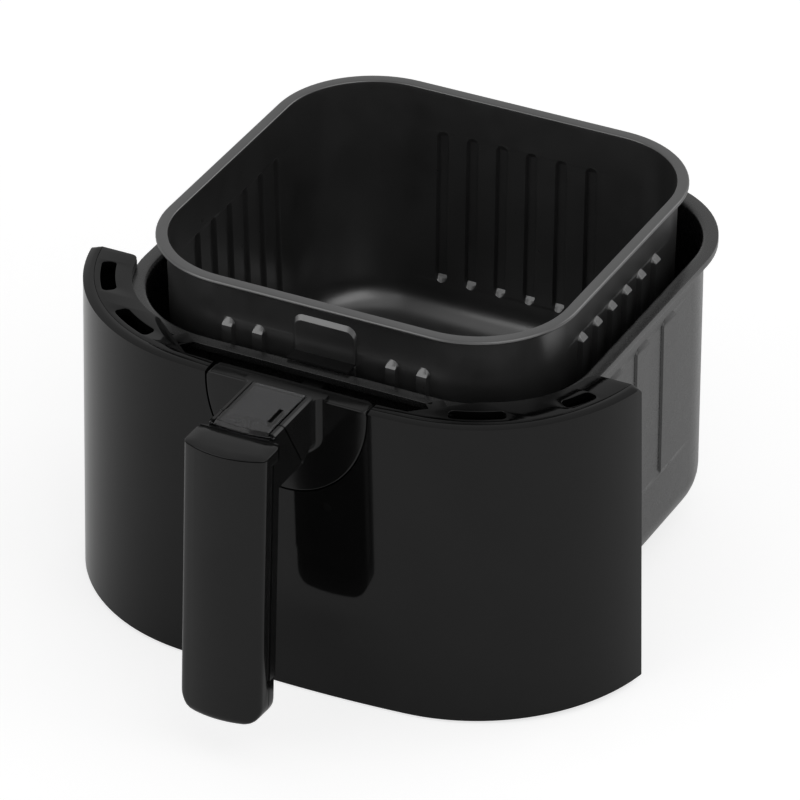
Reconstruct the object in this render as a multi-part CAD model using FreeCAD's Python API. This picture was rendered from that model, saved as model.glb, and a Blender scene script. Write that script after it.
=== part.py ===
import FreeCAD, Part
import math
import os

V = FreeCAD.Vector
os.makedirs("parts", exist_ok=True)

# Sizes are in millimetres. X runs to the right, Y to the back and Z up from the worktop.
# Depths such as pan_front are distances in front of the origin, so they count along -Y.

# Clearances
run_gap = 0.3            # between pieces that move past each other
seat_gap = 0.3           # under the basket's feet
fit_gap = 0.1            # round screws, rivets and the pin, and inside the fascia
seam_gap = 0.5           # round the decks and the handle's plate
liner_gap = 1.5          # between the pan's wall and the fascia's liner
basket_side_gap = 10.4   # between basket and pan, at the sides and the back
basket_front_gap = 5.5   # between basket and pan, at the front
tongue_gap = 2.0         # between the latch and the basket's catch plate

# Outer pan, deep drawn from sheet
pan_half_width = 115.5
pan_front = 110.6
pan_back = 115.5
pan_corner_r = 54.3
pan_height = 160.0
pan_sheet = 1.2
pan_floor_z = 10.4
pan_floor_r = 20.0
well_half = 70.0
well_corner_r = 34.0
well_slope = 6.0
rim_reach = 6.9
rim_depth = 3.5
rim_bevel = 1.1
rim_mouth = 2.0          # bevel at the rim's inner edge
side_pad_count = 3
side_pad_pitch = 30.0
side_pad_width = 15.0
side_pad_rise = 44.6     # pads above the floor
side_pad_drop = 17.0     # pads below the rim
side_pad_corner = 4.0
side_pad_proud = 1.0
side_pad_bevel = 0.9

# Basket
basket_rise = 31.0       # rim above the pan's rim
basket_floor_rise = 53.2  # floor above the pan's floor
basket_corner_r = 47.0
basket_taper = 2.9
basket_sheet = 1.0
basket_floor_r = 8.0
basket_rim_reach = 5.0
basket_rim_depth = 2.5
basket_rim_bevel = 0.8
rib_half = 3.2
rib_proud = 2.6
rib_point = 4.4          # length of a rib's pointed end
rib_rise = 19.4          # ribs above the basket's floor
rib_drop = 21.8          # ribs below the basket's rim
rib_pitch = 16.3
rib_count = 6
front_rib_x = (-51.6, -35.3, 35.3, 51.6)
floor_hole_r = 4.0
floor_hole_pitch = 23.0
floor_hole_count = 6

# Basket lugs
lug_half = 16.5
lug_sheet = 1.5
lug_rise = 21.5          # front lug above the pan's rim
lug_bevel_high = 3.5
lug_proud = 3.0
lug_foot_half = 14.0
lug_foot_grip = 1.8      # how far the foot reaches onto the rim
lug_round = 5.0
catch_low = 19.0         # catch plate below the pan's rim
catch_half = 6.0
rivet_x = 11.0
rivet_r = 1.6
rivet_head_r = 3.0
rivet_head = 1.0
rear_lug_half = 22.0
rear_lug_high = 16.0
rear_foot_grip = 3.8

# Fascia
fascia_bottom_z = 0.8
fascia_end_rise = 2.6    # bottom edge at the ends above that in the middle
fascia_rise = 4.3        # top above the pan's rim
fascia_reach = 34.5      # in front of the pan's wall
fascia_side_reach = 31.1
fascia_back = 65.1
fascia_front_r = 822.0
fascia_corner_r = 96.0
fascia_flare = 3.1
fascia_front_flare = 0.5
fascia_wall = 2.6
fascia_top_r = 1.8
ledge_wide = 2.4
ledge_deep = 3.0
fascia_boss_r = 4.0
fascia_boss_long = 10.0
fascia_flange = 18.0     # inward flange at each end, which the end plate sits on
fascia_boss_in = 13.0    # boss axis inside the fascia's end
fascia_boss_rise = 27.0  # lower boss above the bottom
fascia_boss_drop = 28.3  # upper boss below the top
liner_wall = 2.0
liner_drop = 5.0         # liner below the pan's rim
end_plate = 2.5
base_rise = 3.2          # base cover above the fascia's bottom edge
base_plate = 2.0

# Decks
deck_plate = 3.0
deck_overlap = 1.0       # of the deck over the pan's rim
deck_lip = 8.8
deck_end_r = 4.0
trench_half = 62.0
trench_diagonal = 22.4
trench_front = 22.9      # trench corner in front of the pan's wall
trench_back = 1.4
trench_corner_r = 4.0
deck_tab_drop = 2.0
deck_tab_plate = 1.8
deck_tab_long = 9.0
deck_tab_wide = 7.0
deck_tab_in = 4.0        # tab nearer the middle than the slanted end's centre
vent_r = 80.7
vent_in_x = 92.4         # centre of the vents' arc inside the fascia's end
vent_in_y = 95.6         # and behind the fascia's front
vent_angles = (28.6, 60.8)
vent_long = 27.0
vent_wide = 6.8
vent_corner_r = 2.0

# Bracket on the pan, measured down from the pan's rim
bracket_sheet = 1.5
bracket_half = 30.0
bracket_flange = 14.0
bracket_low_drop = 56.0
bracket_high_drop = 26.0
bracket_tongue_half = 24.0
bracket_tongue_drop = 5.0
ear_half = 58.0
ear_low_drop = 45.0
ear_high_drop = 29.0
ear_screw_x = 50.0
ear_boss_r = 4.5

# Handle base and arm
plate_half = 42.3
plate_arc_high = 49.0    # height of the half ellipse
plate_side_high = 5.1    # straight sides above it
plate_rise = 1.3         # above the fascia's top
plate_corner_r = 3.0
plate_deep = 8.4
backing_plate = 1.8
backing_inset = 1.0
arm_half = 17.0
arm_rise = 2.0           # above the fascia's top
arm_high = 28.9
arm_edge_r = 1.5
arm_root_r = 4.0
seam_low_reach = 14.4
seam_high_reach = 32.0
pocket_start = 4.4
pocket_long = 37.0
pocket_half = 14.2
pocket_floor = 4.0
rail_wall = 1.3
rail_lip = 0.9
rail_bevel = 1.0

# Grip
grip_half = 21.7
grip_reach = 59.5        # from the fascia's front to the grip's side edge at the top
grip_lean = 3.28
grip_side = 14.5
grip_front_bulge = 7.0
grip_rear_bulge = 3.0
grip_long = 144.0
grip_corner_r = 12.0
grip_foot_r = 4.0
grip_edge_r = 2.0
front_layer = 6.0
trim_layer = 2.0
trim_inset = 0.7
groove_rise = 22.0       # trim above the grip's foot
cap_deep = 6.3
core_half = 8.0
core_depth = 9.6
core_thick = 3.0
core_rise = 29.0
core_drop = 34.0         # core below the arm's top
arm_bite = 3.0           # arm's end inside the grip's rear shell

# Cover, button and latch
flange_thick = 1.0
cover_plate = 2.6
cover_long = 40.5
cover_bevel = 0.8
cover_lip = 2.6
cover_lip_bevel = 1.6
button_half = 12.8
button_plate = 2.2
button_long = 29.0
button_bow = 4.0
button_drop = 0.4
button_travel = 4.0
button_slit_x = 9.5
button_slit_wide = 2.2
button_slit_long = 13.0
cheek_thick = 2.0
pin_r = 1.5
pin_reach = 14.9         # pin axis in front of the fascia
latch_half = 5.0
latch_drop = 12.5        # underside below the pan's rim
latch_high = 6.0
latch_front = 6.0
latch_bevel = 2.0
spring_x = 10.3
spring_reach = 26.0
spring_r = 2.0
spring_wire = 0.6
spring_turns = 4
spring_long = 13.7
spring_post_r = 2.3

# Screws
screw_r = 1.5
screw_head_r = 3.0
screw_head = 2.0
screw_bite = 6.0
handle_screw_x = 19.0
handle_screw_rise = (-11.4, 12.6)   # from the arm's underside
grip_screw_rise = 52.0              # lower screw above the grip's foot
grip_screw_drop = 49.0              # upper screw below the arm's top

# Fineness of rounded and many-sided forms
peg_sides = 8
round_steps = 2

# Places worked out from the sizes
far = 400.0
over = 1.0
pan_mid_y = (pan_back - pan_front) / 2
basket_half = pan_half_width - pan_sheet - basket_side_gap
basket_front = pan_front - pan_sheet - basket_front_gap
basket_back = pan_back - pan_sheet - basket_side_gap
basket_floor_z = pan_floor_z + basket_floor_rise
basket_rim_z = pan_height + basket_rise
fascia_front = pan_front + fascia_reach
fascia_end_x = pan_half_width + fascia_side_reach
fascia_top_z = pan_height + fascia_rise
deck_low_z = fascia_top_z - deck_plate
base_low_z = fascia_bottom_z + base_rise
liner_top_z = pan_height - liner_drop
flange_y = -fascia_back - end_plate
plate_back_y = -(fascia_front - plate_deep)
plate_top_z = fascia_top_z + plate_rise
plate_arc_z = plate_top_z - plate_side_high
bracket_front_y = plate_back_y + backing_plate
bracket_low_z = pan_height - bracket_low_drop
bracket_high_z = pan_height - bracket_high_drop
bracket_tongue_z = pan_height - bracket_tongue_drop
ear_low_z = pan_height - ear_low_drop
ear_high_z = pan_height - ear_high_drop
foot_z = pan_height + seat_gap
front_foot = pan_front - pan_sheet + rim_mouth + lug_foot_grip
rear_foot = pan_back - pan_sheet + rim_mouth + rear_foot_grip
lug_face = basket_front + fit_gap
lug_top_z = pan_height + lug_rise
catch_face = lug_face + lug_sheet
arm_top_z = fascia_top_z + arm_rise
arm_low_z = arm_top_z - arm_high
latch_low_z = pan_height - latch_drop
latch_high_z = latch_low_z + latch_high
latch_mid_z = latch_low_z + latch_high / 2
pin_y = -(fascia_front + pin_reach)
pocket_back_y = -(fascia_front + pocket_start)
pocket_front_y = pocket_back_y - pocket_long
pocket_floor_z = arm_low_z + pocket_floor
button_top_z = arm_top_z - button_drop
button_low_z = button_top_z - button_plate
spring_post_z = button_low_z - spring_long
cover_low_z = arm_top_z + run_gap
cover_top_z = cover_low_z + cover_plate
cover_back_y = pocket_back_y + run_gap
cover_front_y = cover_back_y - cover_long
rail_in = arm_half - rail_wall
flange_half = rail_in - run_gap
rail_low_z = cover_low_z + flange_thick + run_gap
rail_top_z = rail_low_z + rail_lip
pane_half = pocket_half
rail_lip_in = pane_half + run_gap
grip_top_y = -(fascia_front + grip_reach)
grip_low_z = arm_top_z - grip_long
grip_rear_y = grip_top_y + grip_side
trim_y = grip_top_y + front_layer
groove_z = grip_low_z + groove_rise
cap_z = arm_top_z - cap_deep


def on_xy(z):
    return lambda u, v: V(u, v, z)


def on_xz(y):
    return lambda u, v: V(u, y, v)


def on_yz(x):
    return lambda u, v: V(x, u, v)


def outline(corners, place):
    """Closed wire through corners (u, v, radius), each rounded by an arc where its radius isn't 0."""
    entries = []
    leaves = []
    middles = []
    for i, (u, v, r) in enumerate(corners):
        here = V(u, v, 0)
        before = V(corners[i - 1][0], corners[i - 1][1], 0) - here
        after = V(corners[(i + 1) % len(corners)][0], corners[(i + 1) % len(corners)][1], 0) - here
        before.normalize()
        after.normalize()
        half = before.getAngle(after) / 2
        run = r / math.tan(half)
        bisector = before + after
        if r:
            bisector.normalize()
        entries.append(here + before * run)
        leaves.append(here + after * run)
        middles.append(here + bisector * (r / math.sin(half) - r))
    edges = []
    for i, (u, v, r) in enumerate(corners):
        after = entries[(i + 1) % len(corners)]
        if r:
            points = [place(p.x, p.y) for p in (entries[i], middles[i], leaves[i])]
            edges.append(Part.Arc(*points).toShape())
        if (after - leaves[i]).Length > 1e-6:
            edges.append(Part.makeLine(place(leaves[i].x, leaves[i].y), place(after.x, after.y)))
    return Part.Wire(edges)


def rectangle(u0, u1, v0, v1, r=0):
    return [(u0, v0, r), (u1, v0, r), (u1, v1, r), (u0, v1, r)]


def prism(corners, z0, z1):
    return Part.Face(outline(corners, on_xy(z0))).extrude(V(0, 0, z1 - z0))


def side_prism(points, half):
    """Solid of a Y-Z polygon, from -half to half along X."""
    corners = [(y, z, 0) for y, z in points]
    return Part.Face(outline(corners, on_yz(-half))).extrude(V(2 * half, 0, 0))


def block(x0, x1, y0, y1, z0, z1):
    return Part.makeBox(x1 - x0, y1 - y0, z1 - z0, V(x0, y0, z0))


def loft(wires):
    return Part.makeLoft(wires, True, True)


def both_sides(shape):
    return [shape, shape.mirror(V(0, 0, 0), V(1, 0, 0))]


def rod(start, direction, length, r):
    return Part.makeCylinder(r, length, start, direction)


def fuse(shapes):
    return shapes[0].multiFuse(shapes[1:]).removeSplitter()


def peg(start, direction, length, r):
    """Rod with flat sides, for what repeats or is hidden; r is to the flats."""
    side = V(1, 0, 0) if abs(direction.z) > 0.5 else V(0, 0, 1)
    across = direction.cross(side)
    corner_r = r / math.cos(math.pi / peg_sides)
    points = []
    for i in range(peg_sides + 1):
        angle = 2 * math.pi * (i + 0.5) / peg_sides
        points.append(start + side * (corner_r * math.cos(angle)) + across * (corner_r * math.sin(angle)))
    return Part.Face(Part.makePolygon(points)).extrude(direction * length)


def screw(seat, direction, length):
    """The head sits on seat, the shank runs along direction."""
    head = peg(seat, direction * -1, screw_head, screw_head_r)
    return head.fuse(peg(seat, direction, length, screw_r)).removeSplitter()


def screw_hole(seat, direction, length):
    return peg(seat - direction * over, direction, length + over + fit_gap, screw_r + fit_gap)


def swept(sides, profile):
    """Solid of a rounded rectangle whose outline follows a profile of (offset, z), from low to high.

    Its walls are flat and its corners are turned, so each step of the profile stays a plane or a cone.
    """
    half, front, back, r = sides
    x = half - r
    y0 = r - front
    y1 = back - r
    up = [(half + offset, z, 0) for offset, z in profile]
    down = [(-half - offset, z, 0) for offset, z in reversed(profile)]
    solids = [Part.Face(outline(up + down, on_xz(y0))).extrude(V(0, y1 - y0, 0))]
    up = [(back + offset, z, 0) for offset, z in profile]
    down = [(-front - offset, z, 0) for offset, z in reversed(profile)]
    solids.append(Part.Face(outline(up + down, on_yz(-x))).extrude(V(2 * x, 0, 0)))
    ring = [V(0, 0, profile[0][1])] + [V(r + offset, 0, z) for offset, z in profile] + [V(0, 0, profile[-1][1])]
    quarter = Part.Face(Part.makePolygon(ring + ring[:1])).revolve(V(0, 0, 0), V(0, 0, 1), 90)
    for i, (cx, cy) in enumerate(((x, y1), (-x, y1), (-x, y0), (x, y0))):
        corner = quarter.copy()
        corner.rotate(V(0, 0, 0), V(0, 0, 1), 90 * i)
        corner.translate(V(cx, cy, 0))
        solids.append(corner)
    return fuse(solids)


def rounded_foot(r, offset, z):
    """Profile points of a rounding that ends at offset on the wall and at z on the floor."""
    points = []
    for i in range(round_steps + 1):
        angle = math.pi / 2 * (1 - i / round_steps)
        points.append((offset - r * (1 - math.cos(angle)), z + r * (1 - math.sin(angle))))
    return points


FORWARD = V(0, -1, 0)


# Pan
pan_sides = (pan_half_width, pan_front, pan_back, pan_corner_r)
well_sides = (well_half, well_half - pan_mid_y, well_half + pan_mid_y, well_corner_r)


def pan_corners(offset):
    half = pan_half_width + offset
    return rectangle(-half, half, -(pan_front + offset), pan_back + offset, pan_corner_r + offset)


def side_pads(inset):
    """Flat pads pressed out of both side walls."""
    half = side_pad_width / 2 - inset
    low = pan_floor_z + side_pad_rise + inset
    high = pan_height - side_pad_drop - inset
    cut = side_pad_corner
    face = pan_half_width + side_pad_proud - inset
    pads = []
    for i in range(side_pad_count):
        y = pan_mid_y + (i - (side_pad_count - 1) / 2) * side_pad_pitch
        corners = [(y - half + cut, low, 0), (y + half - cut, low, 0), (y + half, low + cut, 0),
                   (y + half, high - cut, 0), (y + half - cut, high, 0), (y - half + cut, high, 0),
                   (y - half, high - cut, 0), (y - half, low + cut, 0)]
        pad = Part.Face(outline(corners, on_yz(face))).extrude(V(-side_pad_proud - pan_sheet, 0, 0))
        edges = [e for e in pad.Edges if all(abs(v.X - face) < 1e-4 for v in e.Vertexes)]
        pads += both_sides(pad.makeChamfer(side_pad_bevel, edges))
    return pads


def well_form(inset):
    """Pressed-down centre of the floor, whose wall slopes."""
    slant = inset * math.hypot(1, well_slope / pan_floor_z)
    low = inset
    high = pan_floor_z + inset + over / 2
    return swept(well_sides, [(well_slope * z / pan_floor_z - slant, z) for z in (low, high)])


def outer_pan():
    wall = pan_height - rim_depth
    outside = rounded_foot(pan_floor_r, 0, pan_floor_z)
    outside += [(0, wall), (rim_reach - rim_bevel, wall), (rim_reach, wall + rim_bevel),
                (rim_reach, pan_height - rim_bevel), (rim_reach - rim_bevel, pan_height)]
    inside = rounded_foot(pan_floor_r - pan_sheet, -pan_sheet, pan_floor_z + pan_sheet)
    inside += [(-pan_sheet, pan_height - rim_mouth), (rim_mouth + over - pan_sheet, pan_height + over)]
    solid = fuse([swept(pan_sides, outside), well_form(0)] + side_pads(0))
    hollow = fuse([swept(pan_sides, inside), well_form(pan_sheet)] + side_pads(pan_sheet))
    window = latch_way(-pan_front - over, -pan_front + pan_sheet + over)
    return solid.cut(hollow).cut(window).removeSplitter()


# Basket
basket_sides = (basket_half, basket_front, basket_back, basket_corner_r)


def basket_lean(z):
    return basket_taper * (basket_rim_z - z) / (basket_rim_z - basket_floor_z)


def rib(inset):
    """Upright rib with a flat face and pointed ends, on a wall through X-Z, before it is set in place."""
    half = rib_half - inset
    tip = inset - rib_proud
    low = basket_floor_z + rib_rise + inset
    high = basket_rim_z - rib_drop - inset
    side = [(inset + over, low), (inset, low), (tip, low + rib_point), (tip, high - rib_point), (inset, high),
            (inset + over, high)]
    front = [(0, low, 0), (half, low + rib_point, 0), (half, high - rib_point, 0), (0, high, 0),
             (-half, high - rib_point, 0), (-half, low + rib_point, 0)]
    shape = side_prism(side, rib_half).common(Part.Face(outline(front, on_xz(-far))).extrude(V(0, 2 * far, 0)))
    tilt = math.degrees(math.atan(basket_taper / (basket_rim_z - basket_floor_z)))
    shape.rotate(V(0, 0, basket_rim_z), V(1, 0, 0), tilt)
    return shape


def ribs(inset):
    """Ribs on the front wall, then the same form turned onto the back and the sides."""
    form = rib(inset)
    even_x = [(i - (rib_count - 1) / 2) * rib_pitch for i in range(rib_count)]
    walls = ((0, basket_front, front_rib_x), (180, basket_back, even_x), (90, basket_half, even_x),
             (-90, basket_half, even_x))
    shapes = []
    for turn, reach, places in walls:
        for x in places:
            shape = form.copy()
            shape.translate(V(x, -reach, 0))
            shape.rotate(V(0, 0, 0), V(0, 0, 1), turn)
            shapes.append(shape)
    return shapes


def floor_holes():
    holes = []
    middle = (floor_hole_count - 1) / 2
    for i in range(floor_hole_count):
        for j in range(floor_hole_count):
            place = V((i - middle) * floor_hole_pitch, (j - middle) * floor_hole_pitch, basket_floor_z - over)
            holes.append(peg(place, V(0, 0, 1), basket_sheet + 2 * over, floor_hole_r))
    return holes


def rivet_seats():
    return [V(side * rivet_x, -catch_face, latch_mid_z) for side in (-1, 1)]


def basket_shell():
    wall = basket_rim_z - basket_rim_depth
    foot = -basket_lean(basket_floor_z + basket_floor_r)
    reach = basket_rim_reach
    bevel = basket_rim_bevel
    outside = rounded_foot(basket_floor_r, foot, basket_floor_z)
    outside += [(-basket_lean(wall), wall), (reach - bevel, wall), (reach, wall + bevel),
                (reach, basket_rim_z - bevel), (reach - bevel, basket_rim_z)]
    t = basket_sheet
    inside = rounded_foot(basket_floor_r - t, foot - t, basket_floor_z + t)
    inside += [(-basket_lean(wall) - t, wall), (bevel + over - t, basket_rim_z + over)]
    solid = fuse([swept(basket_sides, outside)] + ribs(0))
    hollow = fuse([swept(basket_sides, inside)] + ribs(t))
    rivet_bores = [peg(seat, V(0, 1, 0), lug_sheet + basket_taper + t + over, rivet_r + fit_gap)
                   for seat in rivet_seats()]
    return solid.cut(hollow).cut(Part.makeCompound(floor_holes() + rivet_bores)).removeSplitter()


def lug_pad(inset):
    """Raised pad on the basket's front, bevelled along its top."""
    face = -(lug_face + lug_proud - inset)
    low = foot_z + inset
    wall = -lug_face + (over if inset else 0)
    bevel_z = lug_top_z - lug_bevel_high - inset / 2
    points = [(wall, low), (face, low), (face, bevel_z), (-lug_face, lug_top_z - inset)]
    return side_prism(points, lug_half - inset)


def basket_front_lug():
    front_view = [(-lug_half, 0, 0), (lug_half, 0, 0), (lug_half, lug_top_z, lug_round),
                  (-lug_half, lug_top_z, lug_round)]
    pad = lug_pad(0).common(Part.Face(outline(front_view, on_xz(-far))).extrude(V(0, far, 0)))
    catch = block(-lug_half, lug_half, -catch_face, -lug_face, pan_height - catch_low, foot_z + lug_sheet)
    foot = block(-lug_foot_half, lug_foot_half, -front_foot, -lug_face, foot_z, foot_z + lug_sheet)
    lug = fuse([pad.cut(lug_pad(lug_sheet)), catch, foot])
    window = block(-catch_half, catch_half, -catch_face - over, -lug_face + over,
                   latch_low_z - run_gap, latch_high_z + run_gap)
    bores = [peg(seat - V(0, over, 0), V(0, 1, 0), lug_sheet + 2 * over, rivet_r + fit_gap)
             for seat in rivet_seats()]
    return lug.cut(Part.makeCompound([window] + bores))


def basket_rear_lug():
    face = basket_back + rib_proud + fit_gap
    leg = block(-rear_lug_half, rear_lug_half, face, face + lug_sheet, foot_z, foot_z + rear_lug_high)
    foot = block(-rear_lug_half, rear_lug_half, face, rear_foot, foot_z, foot_z + lug_sheet)
    gusset = side_prism([(face, foot_z), (rear_foot, foot_z), (face, foot_z + rear_lug_high)], lug_sheet / 2)
    gussets = []
    for side in (-1, 1):
        web = gusset.copy()
        web.translate(V(side * (rear_lug_half - lug_sheet / 2), 0, 0))
        gussets.append(web)
    return fuse([leg, foot] + gussets)


def basket_rivets():
    shapes = []
    for seat in rivet_seats():
        inner_y = -(basket_front - basket_lean(seat.z) - basket_sheet) + fit_gap
        shank = peg(seat, V(0, 1, 0), inner_y - seat.y, rivet_r)
        outer_head = peg(seat, FORWARD, rivet_head, rivet_head_r)
        inner_head = peg(V(seat.x, inner_y, seat.z), V(0, 1, 0), rivet_head, rivet_head_r)
        shapes.append(fuse([shank, outer_head, inner_head]))
    return Part.makeCompound(shapes)


# Fascia
def fascia_outline(inset, z, back_y):
    """Front arc, two tangent corner arcs and a straight back."""
    drop = (fascia_top_z - z) / (fascia_top_z - fascia_bottom_z)
    front = fascia_front + fascia_front_flare * drop
    front_centre = V(0, fascia_front_r - front, 0)
    end = V(fascia_end_x + fascia_flare * drop, -fascia_back, 0)
    reach = fascia_front_r - fascia_corner_r
    span = (end - front_centre).Length
    along = (reach ** 2 - fascia_corner_r ** 2 + span ** 2) / (2 * span)
    across = math.sqrt(reach ** 2 - along ** 2)
    direction = (end - front_centre) / span
    corner = front_centre + direction * along + V(direction.y, -direction.x, 0) * across
    radius = fascia_corner_r - inset
    join_angle = math.atan2(corner.y - front_centre.y, corner.x - front_centre.x)
    end_angle = math.asin((back_y - corner.y) / radius)
    angles = (end_angle, (end_angle + join_angle) / 2, join_angle)
    right = [corner + V(math.cos(a), math.sin(a), 0) * radius + V(0, 0, z) for a in angles]
    left = [V(-p.x, p.y, p.z) for p in right]
    middle = V(0, -(front - inset), z)
    return Part.Wire([Part.Arc(right[0], right[1], right[2]).toShape(),
                      Part.Arc(right[2], middle, left[2]).toShape(),
                      Part.Arc(left[2], left[1], left[0]).toShape(),
                      Part.makeLine(left[0], right[0])])


def fascia_form(inset, z0, z1, back_y=-fascia_back):
    return loft([fascia_outline(inset, z, back_y) for z in (z0, z1)])


def fascia_outer():
    """Outside of the fascia, rounded along its top."""
    levels = [(0, fascia_bottom_z)]
    for i in range(round_steps + 1):
        angle = math.pi / 2 * i / round_steps
        drop = fascia_top_r * (1 - math.sin(angle))
        levels.append((fascia_top_r * (1 - math.cos(angle)), fascia_top_z - drop))
    return loft([fascia_outline(inset, z, -fascia_back) for inset, z in levels])


def below_fascia():
    """Everything under the fascia's bottom edge, which rises towards its ends."""
    end = fascia_end_x + fascia_flare
    left = V(-end, -far, fascia_bottom_z + fascia_end_rise)
    right = V(end, -far, fascia_bottom_z + fascia_end_rise)
    below = V(0, 0, -far)
    edges = [Part.Arc(left, V(0, -far, fascia_bottom_z), right).toShape(), Part.makeLine(right, right + below),
             Part.makeLine(right + below, left + below), Part.makeLine(left + below, left)]
    return Part.Face(Part.Wire(edges)).extrude(V(0, 2 * far, 0))


def plate_form(offset, top_z, corner_r, y0, y1):
    """D outline of the handle's plate: short straight sides on a half ellipse."""
    half = plate_half + offset
    high = top_z + offset
    turn = half - corner_r
    bend = corner_r * math.sqrt(0.5)
    right = V(half, y0, plate_arc_z)
    left = V(-half, y0, plate_arc_z)
    centre_z = high - corner_r
    ellipse = Part.Ellipse(V(0, y0, plate_arc_z + plate_arc_high + offset), right, V(0, y0, plate_arc_z))

    def corner(side):
        return Part.Arc(V(side * half, y0, centre_z), V(side * (turn + bend), y0, centre_z + bend),
                        V(side * turn, y0, high))

    edges = [Part.ArcOfEllipse(ellipse, math.pi / 2, 3 * math.pi / 2).toShape(),
             Part.makeLine(left, V(-half, y0, centre_z)),
             corner(-1).toShape(),
             Part.makeLine(V(-turn, y0, high), V(turn, y0, high)),
             corner(1).toShape(),
             Part.makeLine(V(half, y0, centre_z), right)]
    return Part.Face(Part.Wire(edges)).extrude(V(0, y1 - y0, 0))


def notch():
    """Room for the handle's plate, open at the top."""
    return plate_form(seam_gap, plate_top_z + far / 10, plate_corner_r, -far, bracket_front_y + over)


def fascia_boss_places():
    x = fascia_end_x - fascia_boss_in
    levels = (fascia_bottom_z + fascia_boss_rise, fascia_top_z - fascia_boss_drop)
    return [V(side * x, flange_y, z) for side in (-1, 1) for z in levels]


def ear_screw_seats():
    z = (ear_low_z + ear_high_z) / 2
    return [V(side * ear_screw_x, bracket_front_y + bracket_sheet, z) for side in (-1, 1)]


def fascia_shell():
    inner = fascia_form(fascia_wall, fascia_bottom_z - over, fascia_top_z + over, -fascia_back + over)
    ledge_z = deck_low_z - ledge_deep
    ledge = fascia_form(fascia_wall / 2, ledge_z, deck_low_z)
    ledge = ledge.cut(fascia_form(fascia_wall + ledge_wide, ledge_z - over, deck_low_z + over,
                                  -fascia_back + over))
    solids = [fascia_outer().cut(inner), ledge]
    flange = block(fascia_end_x - fascia_flange, far, flange_y - fascia_wall, flange_y, 0, ledge_z)
    inside = fascia_form(fascia_wall / 2, fascia_bottom_z, fascia_top_z)
    solids += both_sides(flange.common(inside))
    solids += [peg(place, FORWARD, fascia_boss_long, fascia_boss_r) for place in fascia_boss_places()]
    for seat in ear_screw_seats():
        boss = peg(V(seat.x, bracket_front_y, seat.z), FORWARD, fascia_reach, ear_boss_r)
        solids.append(boss.common(inside))
    holes = [screw_hole(place + V(0, end_plate, 0), FORWARD, screw_bite + end_plate)
             for place in fascia_boss_places()]
    holes += [screw_hole(seat, FORWARD, screw_bite) for seat in ear_screw_seats()]
    return fuse(solids).cut(below_fascia()).cut(Part.makeCompound(holes)).cut(notch())


def trench_corners():
    """Opening between the lip and the pan's rim, with slanted ends."""
    wide = trench_half + trench_diagonal
    front = -(pan_front + trench_front)
    back = -(pan_front + trench_back)
    r = trench_corner_r
    return [(-wide, back, 0), (-trench_half, front, r), (-trench_half, -far, 0), (trench_half, -far, 0),
            (trench_half, front, r), (wide, back, 0), (wide, 0, 0), (-wide, 0, 0)]


def vent(angle):
    """Curved slot, an arc of a ring."""
    turn = math.degrees(vent_long / vent_r)
    ring = Part.makeCylinder(vent_r + vent_wide / 2, deck_plate + 2 * over, V(0, 0, 0), V(0, 0, 1), turn)
    ring = ring.cut(Part.makeCylinder(vent_r - vent_wide / 2, deck_plate + 2 * over))
    upright = [e for e in ring.Edges if abs(e.BoundBox.ZLength - deck_plate - 2 * over) < 1e-3
               and e.BoundBox.XLength + e.BoundBox.YLength < 1e-3]
    ring = ring.makeFillet(vent_corner_r, upright)
    ring.rotate(V(0, 0, 0), V(0, 0, 1), -angle - turn / 2)
    ring.translate(V(fascia_end_x - vent_in_x, vent_in_y - fascia_front, deck_low_z - over))
    return ring


def deck_tab():
    """Lower tongue beside the trench's slanted end."""
    slope = math.atan2(trench_front - trench_back, trench_diagonal)
    tab = block(-deck_tab_long / 2, deck_tab_long / 2, -deck_tab_wide, deck_tab_wide, 0, deck_tab_plate)
    tab.rotate(V(0, 0, 0), V(0, 0, 1), math.degrees(slope))
    middle = (trench_front + trench_back) / 2
    tab.translate(V(trench_half + trench_diagonal / 2 - deck_tab_in, -(pan_front + middle),
                    fascia_top_z - deck_tab_drop - deck_tab_plate))
    return tab


def deck(side):
    plate = fascia_form(fascia_wall + seam_gap, deck_low_z, fascia_top_z)
    trench = prism(trench_corners(), deck_low_z - over, fascia_top_z + over)
    trench = trench.common(fascia_form(deck_lip, deck_low_z - over, fascia_top_z + over, -over))
    rim = prism(pan_corners(rim_reach - deck_overlap), deck_low_z - over, fascia_top_z + over)
    half_space = block(0, far, -far, far, 0, far)
    plate = plate.common(half_space).cut(trench).cut(rim).cut(notch())
    end_x = min(v.X for v in plate.Vertexes if abs(v.Y + fascia_back) < 1e-3)
    end_edges = [e for e in plate.Edges if all(abs(v.X - end_x) < 1e-3 and abs(v.Y + fascia_back) < 1e-3
                                               for v in e.Vertexes)]
    plate = plate.makeFillet(deck_end_r, end_edges)
    plate = plate.fuse(deck_tab()).removeSplitter()
    plate = plate.cut(Part.makeCompound([vent(angle) for angle in vent_angles]))
    return both_sides(plate)[0 if side > 0 else 1]


def fascia_liner(shell):
    low = base_low_z + base_plate
    wall = prism(pan_corners(liner_gap + liner_wall), low, liner_top_z)
    wall = wall.common(block(-far, far, -far, -fascia_back, 0, far))
    window = block(-ear_half - run_gap, ear_half + run_gap, -far, -pan_front, bracket_low_z - over, far)
    plates = fascia_form(fascia_wall + fit_gap, base_low_z, deck_low_z)
    plates = plates.common(block(-far, far, flange_y, far, 0, far))
    rim_room = prism(pan_corners(rim_reach + liner_gap), liner_top_z, far)
    liner = fuse([wall, plates.cut(rim_room)]).cut(prism(pan_corners(liner_gap), 0, far))
    holes = [screw_hole(place + V(0, end_plate, 0), FORWARD, end_plate + over)
             for place in fascia_boss_places()]
    return liner.cut(Part.makeCompound([window] + holes)).cut(shell)


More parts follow.
